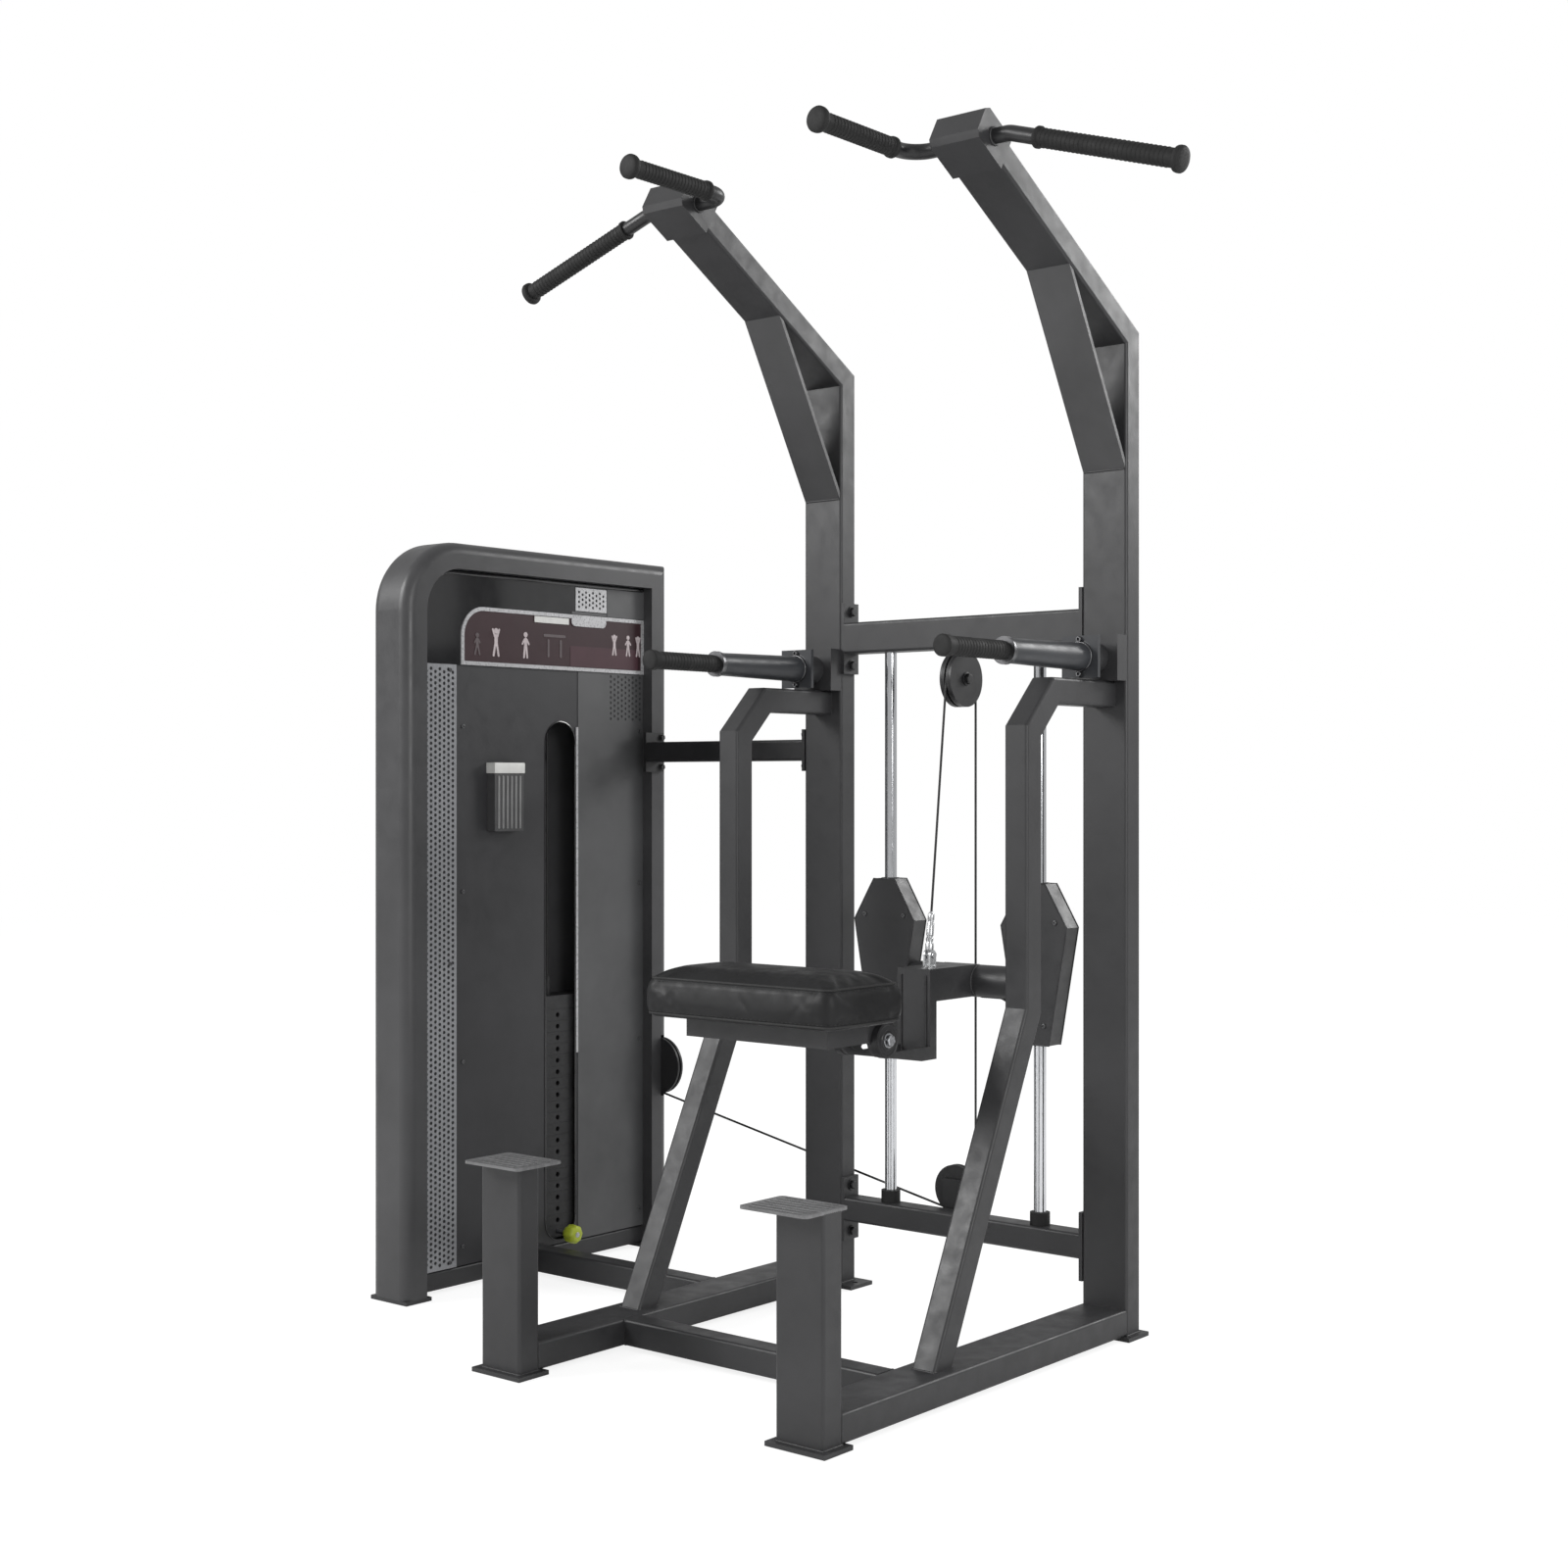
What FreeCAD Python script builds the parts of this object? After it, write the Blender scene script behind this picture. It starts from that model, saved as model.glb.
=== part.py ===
import FreeCAD, Part
import math
import os

# Assisted chin-up dip machine. Millimetres, +Z up, +X to the user's right, +Y to the back.
# The origin lies on the floor, midway between the two uprights.

# Frame tubes
tube_wide = 100.0
tube_deep = 50.0
tube_wall = 3.0
tube_corner = 6.0
square_tube = 50.0
overrun = 20.0
seat_gap = 0.3
running_gap = 0.05

# Side frames
frame_half_spacing = 348.0
bend_height = 1928.0
arm_rise_deg = 30.0
bar_reach = 480.0
column_reach = 934.0
column_height = 384.0
floor_plate_thick = 8.0
floor_plate_lip = 12.0
anchor_tab = 36.0
anchor_hole_radius = 6.5
brace_thick = 8.0
brace_low_height = 1673.0
brace_high_reach = 226.0
support_reach = 309.0
support_cut = 76.0
strut_top_height = 653.0
strut_foot_reach = 594.0

# Step plates
step_plate_wide = 142.0
step_plate_long = 112.0
step_plate_thick = 5.0
step_plate_front = 69.0
step_plate_corner = 10.0

# Cross members
front_tube_reach = 663.0
link_tube_reach = 340.0
tie_height = 1141.0
tie_tube_size = 46.0
tie_flange_lip = 22.0
top_bar_low = 1344.0
top_bar_tall = 66.0
low_bar_low = 141.0
bar_deep = 50.0
end_plate_thick = 8.0
end_plate_lip = 42.0
bolt_radius = 6.0
bolt_head_radius = 10.0
bolt_head_thick = 7.0
bolt_inset = 18.0

# Pull-up bars
head_half_long = 45.0
head_half_thick = 34.0
head_side_lip = 2.0
head_chamfer = 10.0
bar_radius = 14.0
grip_radius = 16.5
end_cap_radius = 23.0
end_cap_thick = 14.0
wide_root_run = 34.0
wide_end_spread = 414.0
wide_drop = 106.0
wide_grip_start_share = 0.18
neutral_spread = 126.0
neutral_bend = 45.0
neutral_length = 266.0
neutral_grip_length = 206.0

# Dip handles
dip_height = 1310.0
dip_bracket_wide = 100.0
dip_bracket_tall = 88.0
dip_bracket_deep = 35.0
support_height = dip_height - dip_bracket_tall / 2 - square_tube / 2
dip_hub_radius = 30.0
dip_hub_deep = 46.0
dip_flange_size = 80.0
dip_flange_thick = 8.0
dip_bolt_spacing = 66.0
dip_bolt_radius = 5.5
dip_body_root_radius = 27.0
dip_body_tip_radius = 23.0
dip_body_length = 250.0
dip_ring_radius = 25.0
dip_ring_length = 10.0
dip_core_radius = 13.0
dip_grip_radius = 17.0
dip_grip_length = 178.0
dip_cap_radius = 20.0
dip_cap_length = 12.0

# Guide rods and the collars at their feet
rod_inset = 163.0
rod_radius = 12.5
collar_radius = 20.0
collar_tall = 26.0

# Pulleys and cable
cable_radius = 2.4
cable_plane = 44.0
pulley_thick = 16.0
pulley_rim = 5.0
groove_depth = 3.0
upper_pulley_radius = 52.0
upper_pulley_height = 1282.0
lower_pulley_radius = 46.0
lower_pulley_height = 228.0
tower_pulley_radius = 60.0
tower_pulley_height = 416.0
top_pulley_radius = 50.0
top_pulley_drop = 61.0
axle_radius = 8.0
axle_head_radius = 12.0
bracket_thick = 5.0
side_gap = 0.5

# Carriage
cover_low = 551.0
cover_top = 870.0
cover_widest_height = 785.0
cover_top_half = 27.0
cover_widest_half = 77.0
cover_low_half = 36.0
cover_front = 24.0
cover_back = 20.0
cover_wall = 3.0
cover_rod_gap = 2.0
bearing_radius = 16.7
cross_tube_height = 668.0
cross_tube_radius = 33.0
cross_tube_wall = 4.0
gusset_reach = 60.0
gusset_drop = 62.0
gusset_thick = 16.0
cheek_half_spacing = 35.0
cheek_thick = 10.0
cheek_top = 702.0
cheek_step = 550.0
cheek_low = 524.0
cheek_front = 172.0
cheek_back = 150.0
cheek_under = 638.0
cheek_slope_reach = 200.0
nose_front = 372.0
nose_back = 352.0
nose_clearance = 4.0
anchor_reach = 118.0
anchor_height = 755.0
anchor_radius = 9.0
hinge_reach = 330.0
hinge_height = 578.0
hinge_pin_radius = 10.0
hinge_disc_radius = 34.0
boss_radius = 35.0
boss_thick = 14.0
boss_bolt_radius = 11.0
boss_bolt_thick = 6.0

# Platform
pad_half_width = 226.0
pad_front = 725.0
pad_back = 493.0
pad_low = 637.3
pad_tall = 72.0
pad_crown = 22.0
pad_corner = 34.0
pad_draw_in = 8.0
tray_half_width = 167.0
tray_front = 658.0
tray_back = 542.0
tongue_half_width = 48.0
tongue_back = 300.0
tongue_flange_tall = 16.0
tray_thick = 4.0
tray_tall = 37.0
lug_radius = 22.0
lug_half_spacing = 25.0
lug_thick = 9.0

# Weight tower
tower_inner_x = 875.0
tower_wide = 112.0
tower_front = 728.0
tower_back = 61.0
tower_height = 1575.0
arch_band = 56.0
arch_edge_radius = 24.0
arch_wall = 3.0
arch_corner_radius = 149.0
panel_recess = 30.0
far_recess = 3.0
panel_thick = 2.0
panel_low = 50.0
slot_middle = 260.0
slot_wide = 94.0
slot_low = 56.0
slot_top = 1207.0
strip_wide = 105.0
strip_edge = 567.0
strip_top = 1320.0
strip_thick = 2.0
strip_hole_radius = 4.0
strip_hole_pitch = 34.0
cover_band_low = 1446.0
placard_low = 1320.0
placard_front = 556.0
placard_thick = 3.0
holder_middle = 437.0
holder_wide = 86.0
holder_low = 967.0
holder_tall = 147.0
holder_deep = 26.0
holder_wall = 3.0
tower_base_top = 48.0

# Weight stack
plate_count = 20
plate_wide = 66.0
plate_gap = 2.5
plate_long = 300.0
plate_thick = 25.0
cushion_tall = 14.0
cushion_radius = 24.0
stack_rod_half_spacing = 110.0
stack_rod_radius = 12.0
stack_rod_gap = 1.0
selector_radius = 11.0
selector_gap = 0.5
head_plate_thick = 30.0
pin_radius = 5.0
pin_gap = 0.4
pin_tip = 10.0
knob_radius = 21.0
knob_length = 34.0
knob_stand_off = 20.0
rod_plate_height = 1385.0
rod_plate_thick = 8.0
cable_ferrule_radius = 7.0
cable_ferrule_tall = 42.0


X_AXIS = FreeCAD.Vector(1, 0, 0)
Y_AXIS = FreeCAD.Vector(0, 1, 0)
Z_AXIS = FreeCAD.Vector(0, 0, 1)
ORIGIN = FreeCAD.Vector(0, 0, 0)
SIDES = (-1, 1)
half_wide = tube_wide / 2
half_deep = tube_deep / 2
rail_low = floor_plate_thick
rail_top = rail_low + tube_deep
panel_face = -tower_inner_x - panel_recess
far_face = -tower_inner_x - tower_wide + far_recess + panel_thick
stack_x = far_face + plate_gap + plate_wide / 2
tower_ceiling = tower_height - arch_band
top_pulley_height = tower_ceiling - top_pulley_drop
rod_half_spacing = frame_half_spacing - rod_inset
inner_face = frame_half_spacing - half_wide
outer_face = frame_half_spacing + half_wide
arm_rise = math.radians(arm_rise_deg)
arm_way = FreeCAD.Vector(0, -math.cos(arm_rise), math.sin(arm_rise))
arm_up = FreeCAD.Vector(0, math.sin(arm_rise), math.cos(arm_rise))
bar_height = bend_height + bar_reach * math.tan(arm_rise)
grip_reach = bar_reach


def vec(x, y, z):
    return FreeCAD.Vector(x, y, z)


def block(x0, x1, y0, y1, z0, z1):
    return Part.makeBox(x1 - x0, y1 - y0, z1 - z0, vec(x0, y0, z0))


def cylinder(start, way, radius, length):
    return Part.makeCylinder(radius, length, start, way)


def pipe(start, way, radius, bore, length):
    outer = cylinder(start, way, radius, length)
    return outer.cut(cylinder(start, way, bore, length))


def prism(points, sweep):
    outline = Part.makePolygon(points + [points[0]])
    return Part.Face(outline).extrude(sweep)


def joined(shapes):
    first = shapes[0]
    return first.fuse(shapes[1:]).removeSplitter()


def group(shapes):
    return Part.makeCompound(shapes)


def mirrored(shape):
    return shape.mirror(ORIGIN, X_AXIS)


def pair(shape):
    return group([mirrored(shape), shape])


def along_edges(shape, way):
    found = []
    for edge in shape.Edges:
        run = edge.Vertexes[-1].Point - edge.Vertexes[0].Point
        if run.Length > 0 and abs(run.normalize().dot(way)) > math.cos(math.radians(arm_rise_deg) / 2):
            found.append(edge)
    return found


def hollow_bar(x0, x1, y0, y1, z0, z1, way, wall=tube_wall, corner=tube_corner):
    """A rectangular tube with rounded edges that runs along way."""
    outer = block(x0, x1, y0, y1, z0, z1)
    outer = outer.makeFillet(corner, along_edges(outer, way))
    grow = vec(wall * (1 - abs(way.x)), wall * (1 - abs(way.y)), wall * (1 - abs(way.z)))
    run = vec(overrun * abs(way.x), overrun * abs(way.y), overrun * abs(way.z))
    inner = block(x0 + grow.x - run.x, x1 - grow.x + run.x,
                  y0 + grow.y - run.y, y1 - grow.y + run.y,
                  z0 + grow.z - run.z, z1 - grow.z + run.z)
    return outer.cut(inner)


def beyond(point, normal, reach):
    """A large block on the side of a plane that its normal points to."""
    tool = Part.makeBox(2 * reach, 2 * reach, reach, vec(-reach, -reach, 0))
    tool.Placement = FreeCAD.Placement(point, FreeCAD.Rotation(Z_AXIS, normal))
    return tool


def sloped_bar(middle_x, start, way, length, wide, deep):
    """A rectangular tube in a plane of constant X, from start along way."""
    bar = hollow_bar(-wide / 2, wide / 2, -deep / 2, deep / 2, 0, length, Z_AXIS)
    bar.Placement = FreeCAD.Placement(vec(middle_x, start.y, start.z), FreeCAD.Rotation(Z_AXIS, way))
    return bar


def save(name, shape):
    shape.exportStep("parts/" + name + ".step")


# Frame

def base_rail():
    return hollow_bar(inner_face, outer_face, -column_reach + half_deep, -half_deep,
                      rail_low, rail_top, Y_AXIS)


bend_point = vec(0, 0, bend_height)
bend_normal = (Z_AXIS + arm_way).normalize()


def upright():
    bar = hollow_bar(inner_face, outer_face, -half_deep, half_deep,
                     floor_plate_thick, bend_height + tube_wide, Z_AXIS)
    return bar.cut(beyond(bend_point, bend_normal, bend_height))


def pullup_arm():
    length = bar_reach / math.cos(arm_rise) - head_half_long
    start = bend_point - arm_way * tube_wide
    bar = sloped_bar(frame_half_spacing, start, arm_way, length + tube_wide, tube_wide, tube_deep)
    return bar.cut(beyond(bend_point, bend_normal * -1, bend_height))


def arm_brace():
    under = bend_point - arm_up * half_deep
    high_z = under.z + (brace_high_reach + under.y) * math.tan(arm_rise)
    low = vec(0, -half_deep, brace_low_height)
    high = vec(0, -brace_high_reach, high_z)
    slope = (high - low).normalize()
    low_back = vec(0, -half_deep, low.z + brace_thick / math.sin(math.atan2(-slope.y, slope.z)))
    along = brace_thick / math.cos(math.atan2(slope.z, -slope.y) - arm_rise - math.pi / 2)
    high_back = high - arm_way * along
    inset = vec(inner_face + tube_wall, 0, 0)
    points = [inset + low, inset + high, inset + high_back, inset + low_back]
    return prism(points, vec(tube_wide - 2 * tube_wall, 0, 0))


def front_support():
    """Runs forward from the upright, turns down through a short sloping piece, and ends at the strut."""
    x = frame_half_spacing
    size = square_tube
    corner_y = -support_reach + support_cut
    first = hollow_bar(x - size / 2, x + size / 2, corner_y - size, -half_deep,
                       support_height - size / 2, support_height + size / 2, Y_AXIS)
    slope_way = vec(0, -1, -1).normalize()
    slope_start = vec(0, corner_y, support_height)
    slope_end = vec(0, -support_reach, support_height - support_cut)
    slope_length = (slope_end - slope_start).Length
    middle = sloped_bar(x, slope_start - slope_way * size, slope_way, slope_length + 2 * size, size, size)
    last = hollow_bar(x - size / 2, x + size / 2, -support_reach - size / 2, -support_reach + size / 2,
                      strut_top_height - size, slope_end.z + size, Z_AXIS)
    high_cut = (slope_way - Y_AXIS).normalize()
    low_cut = (slope_way - Z_AXIS).normalize()
    first = first.cut(beyond(slope_start, high_cut, support_height))
    middle = middle.cut(beyond(slope_start, high_cut * -1, support_height))
    middle = middle.cut(beyond(slope_end, low_cut, support_height))
    last = last.cut(beyond(slope_end, low_cut * -1, support_height))
    last = last.cut(beyond(strut_start(), strut_cut(), support_height))
    return joined([first, middle, last])


def strut_start():
    return vec(0, -support_reach, strut_top_height)


def strut_way():
    return (vec(0, -strut_foot_reach, rail_top) - strut_start()).normalize()


def strut_cut():
    return (strut_way() - Z_AXIS).normalize()


def strut():
    size = square_tube
    length = (vec(0, -strut_foot_reach, rail_top) - strut_start()).Length
    bar = sloped_bar(frame_half_spacing, strut_start() - strut_way() * size, strut_way(),
                     length + 3 * size, size, size)
    bar = bar.cut(beyond(strut_start(), strut_cut() * -1, support_height))
    return bar.cut(beyond(vec(0, 0, rail_top), Z_AXIS * -1, column_reach))


def step_column():
    return hollow_bar(inner_face, outer_face, -column_reach - half_deep, -column_reach + half_deep,
                      floor_plate_thick, column_height, Z_AXIS)


def step_plate():
    front = -column_reach - step_plate_front
    plate = block(outer_face - step_plate_wide, outer_face, front, front + step_plate_long,
                  column_height, column_height + step_plate_thick)
    return plate.makeFillet(step_plate_corner, along_edges(plate, Z_AXIS))


def floor_plate(x0, x1, y0, y1):
    return block(x0, x1, y0, y1, 0, floor_plate_thick)


def upright_floor_plate():
    plate = floor_plate(inner_face - anchor_tab, outer_face + floor_plate_lip,
                        -half_deep - floor_plate_lip, half_deep + floor_plate_lip)
    hole = cylinder(vec(inner_face - anchor_tab / 2, 0, -overrun), Z_AXIS,
                    anchor_hole_radius, floor_plate_thick + 2 * overrun)
    return plate.cut(hole)


def column_floor_plate():
    return floor_plate(inner_face - floor_plate_lip, outer_face + floor_plate_lip,
                       -column_reach - half_deep - floor_plate_lip,
                       -column_reach + half_deep + floor_plate_lip)


def tower_floor_plates():
    x0 = -tower_inner_x - tower_wide
    x1 = -tower_inner_x
    front = floor_plate(x0, x1, -tower_front, -tower_front + arch_band + floor_plate_lip)
    back = floor_plate(x0, x1, tower_back - arch_band - floor_plate_lip, tower_back)
    return [front, back]


def front_cross_tube():
    return hollow_bar(-inner_face, inner_face, -front_tube_reach - half_deep,
                      -front_tube_reach + half_deep, rail_low, rail_top, X_AXIS)


def tower_link_tube():
    return hollow_bar(panel_face - panel_thick, -outer_face, -link_tube_reach - half_deep,
                      -link_tube_reach + half_deep, rail_low, rail_top, X_AXIS)


def upper_tie_tube():
    half = tie_tube_size / 2
    x0 = -tower_inner_x + end_plate_thick
    x1 = -outer_face - end_plate_thick
    bar = hollow_bar(x0, x1, -half, half, tie_height - half, tie_height + half, X_AXIS)
    edge = half + tie_flange_lip
    outer = block(-tower_inner_x, x0, -half, tower_back - arch_edge_radius, tie_height - edge, tie_height + edge)
    inner = block(x1, -outer_face, -half_deep, half_deep, tie_height - edge, tie_height + edge)
    return joined([outer, bar, inner])


def crossbar(low, tall):
    """A tube between the uprights with an upright plate on each end."""
    end = inner_face - end_plate_thick
    bar = hollow_bar(-end, end, -bar_deep / 2, bar_deep / 2, low, low + tall, X_AXIS)
    plate = block(end, inner_face, -half_deep, half_deep, low - end_plate_lip, low + tall + end_plate_lip)
    return joined([bar, plate, mirrored(plate)])


def bolt(point, way, radius=bolt_head_radius):
    head = Part.makeCylinder(radius, bolt_head_thick, point, way)
    rim = [edge for edge in head.Edges if len(edge.Vertexes) == 1]
    return head.makeChamfer(bolt_head_thick / 4, rim[:1])


def crossbar_bolts():
    heads = []
    end = inner_face - end_plate_thick
    for low, tall in ((top_bar_low, top_bar_tall), (low_bar_low, tube_deep)):
        for z in (low - end_plate_lip + bolt_inset, low + tall + end_plate_lip - bolt_inset):
            for side in SIDES:
                heads.append(bolt(vec(side * end, 0, z), X_AXIS * -side))
    return heads


# Pull-up bars

head_middle = vec(frame_half_spacing, -bar_reach, bar_height)


def arm_head():
    long = head_half_long
    thick = head_half_thick
    cut = head_chamfer
    corners = ((-long, -thick), (long - cut, -thick), (long, -thick + cut),
               (long, thick - cut), (long - cut, thick), (-long, thick))
    base = vec(inner_face - head_side_lip, head_middle.y, head_middle.z)
    points = [base + arm_way * a + arm_up * b for a, b in corners]
    return prism(points, vec(tube_wide + 2 * head_side_lip, 0, 0))


def bent_rod(points, bend, radius):
    """A round bar through three points with one bend of the given radius."""
    start, corner, end = points
    to_start = (start - corner).normalize()
    to_end = (end - corner).normalize()
    half_turn = (math.pi - to_start.getAngle(to_end)) / 2
    back = bend * math.tan(half_turn)
    first = corner + to_start * back
    last = corner + to_end * back
    inward = (to_start + to_end).normalize()
    middle = corner + inward * (bend / math.cos(half_turn) - bend)
    path = Part.Wire([Part.LineSegment(start, first).toShape(),
                      Part.Arc(first, middle, last).toShape(),
                      Part.LineSegment(last, end).toShape()])
    ring = Part.Wire(Part.Circle(start, to_start, radius).toShape())
    return path.makePipeShell([ring], True, False)


wide_start = vec(outer_face + head_side_lip, -grip_reach, bar_height)
wide_corner = vec(outer_face + wide_root_run, -grip_reach, bar_height)
wide_end = vec(frame_half_spacing + wide_end_spread, -grip_reach, bar_height - wide_drop)
wide_way = (wide_end - wide_corner).normalize()


def wide_bar():
    return bent_rod([wide_start, wide_corner, wide_end], neutral_bend, bar_radius)


neutral_start = vec(inner_face - head_side_lip, -grip_reach, bar_height)
neutral_corner = vec(frame_half_spacing - neutral_spread, -grip_reach, bar_height)
neutral_end = neutral_corner - Y_AXIS * neutral_length


def neutral_bar():
    return bent_rod([neutral_start, neutral_corner, neutral_end], neutral_bend, bar_radius)


def wide_grip():
    length = (wide_end - wide_corner).Length
    start = wide_corner + wide_way * (length * wide_grip_start_share)
    return pipe(start, wide_way, grip_radius, bar_radius, length * (1 - wide_grip_start_share))


def neutral_grip():
    start = neutral_end + Y_AXIS * neutral_grip_length
    return pipe(start, Y_AXIS * -1, grip_radius, bar_radius, neutral_grip_length)


def end_cap(point, way):
    cap = cylinder(point, way, end_cap_radius, end_cap_thick)
    rims = [edge for edge in cap.Edges if len(edge.Vertexes) == 1]
    return cap.makeFillet(end_cap_thick / 4, rims)


# Dip handles

dip_front = -half_deep - dip_bracket_deep
flange_back = dip_front - dip_hub_deep
flange_front = flange_back - dip_flange_thick
ring_back = flange_front - dip_body_length
dip_grip_start = ring_back - dip_ring_length


def dip_bracket():
    x = frame_half_spacing
    half = dip_bracket_tall / 2
    box = block(x - dip_bracket_wide / 2, x + dip_bracket_wide / 2, dip_front, -half_deep,
                dip_height - half, dip_height + half)
    hub = cylinder(vec(x, dip_front, dip_height), Y_AXIS * -1, dip_hub_radius, dip_hub_deep)
    return joined([box, hub])


def dip_handle():
    x = frame_half_spacing
    half = dip_flange_size / 2
    flange = block(x - half, x + half, flange_front, flange_back, dip_height - half, dip_height + half)
    body = Part.makeCone(dip_body_root_radius, dip_body_tip_radius, dip_body_length,
                         vec(x, flange_front, dip_height), Y_AXIS * -1)
    core = cylinder(vec(x, ring_back, dip_height), Y_AXIS * -1, dip_core_radius,
                    dip_ring_length + dip_grip_length)
    return joined([flange, body, core])


def dip_ring():
    start = vec(frame_half_spacing, ring_back, dip_height)
    return pipe(start, Y_AXIS * -1, dip_ring_radius, dip_core_radius, dip_ring_length)


def dip_grip():
    x = frame_half_spacing
    start = vec(x, dip_grip_start, dip_height)
    sleeve = pipe(start, Y_AXIS * -1, dip_grip_radius, dip_core_radius, dip_grip_length)
    cap = cylinder(start - Y_AXIS * dip_grip_length, Y_AXIS * -1, dip_cap_radius, dip_cap_length)
    return joined([sleeve, cap])


def dip_bolts():
    heads = []
    for side in SIDES:
        for way in SIDES:
            z = dip_height + way * dip_bolt_spacing / 2
            point = vec(side * frame_half_spacing, flange_front, z)
            heads.append(bolt(point, Y_AXIS * -1, dip_bolt_radius))
    return heads


# Guide rods

rod_low = low_bar_low + tube_deep
rod_top = top_bar_low


def guide_rod():
    return cylinder(vec(rod_half_spacing, 0, rod_low), Z_AXIS, rod_radius, rod_top - rod_low)


def rod_collars():
    low = pipe(vec(rod_half_spacing, 0, rod_low), Z_AXIS, collar_radius, rod_radius, collar_tall)
    return [low, mirrored(low)]


# Pulleys

def pulley(middle, axis, groove_radius):
    """A grooved wheel; groove_radius is measured to the middle of the cable that it holds."""
    outer = groove_radius + pulley_rim
    start = middle - axis * (pulley_thick / 2)
    wheel = cylinder(start, axis, outer, pulley_thick)
    groove = Part.makeTorus(groove_radius, cable_radius + seat_gap, middle, axis)
    slot_half = cable_radius + seat_gap
    ring = cylinder(middle - axis * slot_half, axis, outer + overrun, 2 * slot_half)
    ring = ring.cut(cylinder(middle - axis * slot_half, axis, groove_radius, 2 * slot_half))
    bore = cylinder(start, axis, axle_radius + running_gap, pulley_thick)
    return wheel.cut(groove).cut(ring).cut(bore)


def axle(middle, axis, half_length):
    shaft = cylinder(middle - axis * half_length, axis, axle_radius, 2 * half_length)
    return shaft


upper_middle = vec(0, cable_plane - upper_pulley_radius, upper_pulley_height)
lower_middle = vec(-lower_pulley_radius, cable_plane, lower_pulley_height)
side_middle = vec(stack_x + tower_pulley_radius, cable_plane, tower_pulley_height)
rear_top_middle = vec(stack_x, cable_plane - top_pulley_radius, top_pulley_height)
front_top_middle = vec(stack_x, -slot_middle + top_pulley_radius, top_pulley_height)
cheek_gap = pulley_thick / 2 + side_gap


def upper_pulley_bracket():
    """Two round-ended cheeks hang from the top crossbar with the axle between them."""
    half = upper_pulley_radius + pulley_rim
    roof_low = upper_middle.z + half + side_gap
    parts = []
    for side in SIDES:
        x0 = min(side * cheek_gap, side * (cheek_gap + bracket_thick))
        parts.append(cylinder(vec(x0, upper_middle.y, upper_middle.z), X_AXIS, half, bracket_thick))
        parts.append(block(x0, x0 + bracket_thick, upper_middle.y - half / 2, bar_deep / 2,
                           upper_middle.z, top_bar_low))
    parts.append(block(-cheek_gap, cheek_gap, upper_middle.y - half / 2, bar_deep / 2,
                       roof_low, top_bar_low))
    parts.append(axle(upper_middle, X_AXIS, cheek_gap + 2 * bracket_thick))
    return joined(parts)


def lower_pulley_bracket():
    """Two cheeks stand behind the lower crossbar with the axle between them."""
    half = lower_pulley_radius / 2
    x = lower_middle.x
    back = bar_deep / 2
    near = cable_plane - cheek_gap
    far = cable_plane + cheek_gap
    low = low_bar_low
    front_cheek = block(x - half, x + half, back, near, low, lower_middle.z + half)
    back_cheek = block(x - half, x + half, far, far + bracket_thick, low, lower_middle.z + half)
    floor_top = lower_middle.z - lower_pulley_radius - pulley_rim - side_gap - 2 * cable_radius
    floor = block(x - half, x + half, back, far + bracket_thick, low, floor_top)
    pin = cylinder(vec(x, back, lower_middle.z), Y_AXIS, axle_radius, far + 2 * bracket_thick - back)
    return joined([front_cheek, back_cheek, floor, pin])


def tower_hangers():
    """The axle in the tower's leg, and the hanger with two axles under the arch's top band."""
    parts = []
    y0 = tower_back - arch_band + arch_wall
    y1 = cable_plane + cheek_gap
    parts.append(cylinder(vec(side_middle.x, y0, side_middle.z), Y_AXIS, axle_radius, y1 - y0))
    ceiling = tower_ceiling
    for middle in (rear_top_middle, front_top_middle):
        plates = []
        half = top_pulley_radius / 2
        for side in SIDES:
            x0 = middle.x + min(side * cheek_gap, side * (cheek_gap + bracket_thick))
            plates.append(block(x0, x0 + bracket_thick, middle.y - half, middle.y + half,
                                middle.z - half, ceiling))
        plates.append(axle(middle, X_AXIS, cheek_gap + bracket_thick))
        parts.append(joined(plates))
    return parts


# Cable

def arc_piece(middle, axis, first, turn_deg, radius):
    """A quarter or more of cable round a pulley, from the point first about axis."""
    ring = Part.Face(Part.Wire(Part.Circle(first, axis.cross(first - middle), cable_radius).toShape()))
    return ring.revolve(middle, axis, turn_deg)


def straight_piece(start, end):
    run = end - start
    return cylinder(start, run, cable_radius, run.Length)


def lower_tangents():
    """The two points where the cable leaves the lower pulley and reaches the tower's side pulley."""
    run = side_middle - lower_middle
    lean = math.asin((tower_pulley_radius - lower_pulley_radius) / run.Length)
    slope = math.atan2(run.z, -run.x) - lean
    down = vec(-math.sin(slope), 0, -math.cos(slope))
    return lower_middle + down * lower_pulley_radius, side_middle + down * tower_pulley_radius, slope


carriage_anchor = vec(0, -anchor_reach, anchor_height)


def carriage_tangent():
    """The point where the cable leaves the upper pulley for the carriage."""
    run = carriage_anchor - upper_middle
    reach = math.hypot(run.y, run.z)
    spread = math.acos(upper_pulley_radius / reach)
    angle = math.atan2(run.z, run.y) - spread
    return upper_middle + vec(0, math.cos(angle), math.sin(angle)) * upper_pulley_radius, angle


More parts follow.
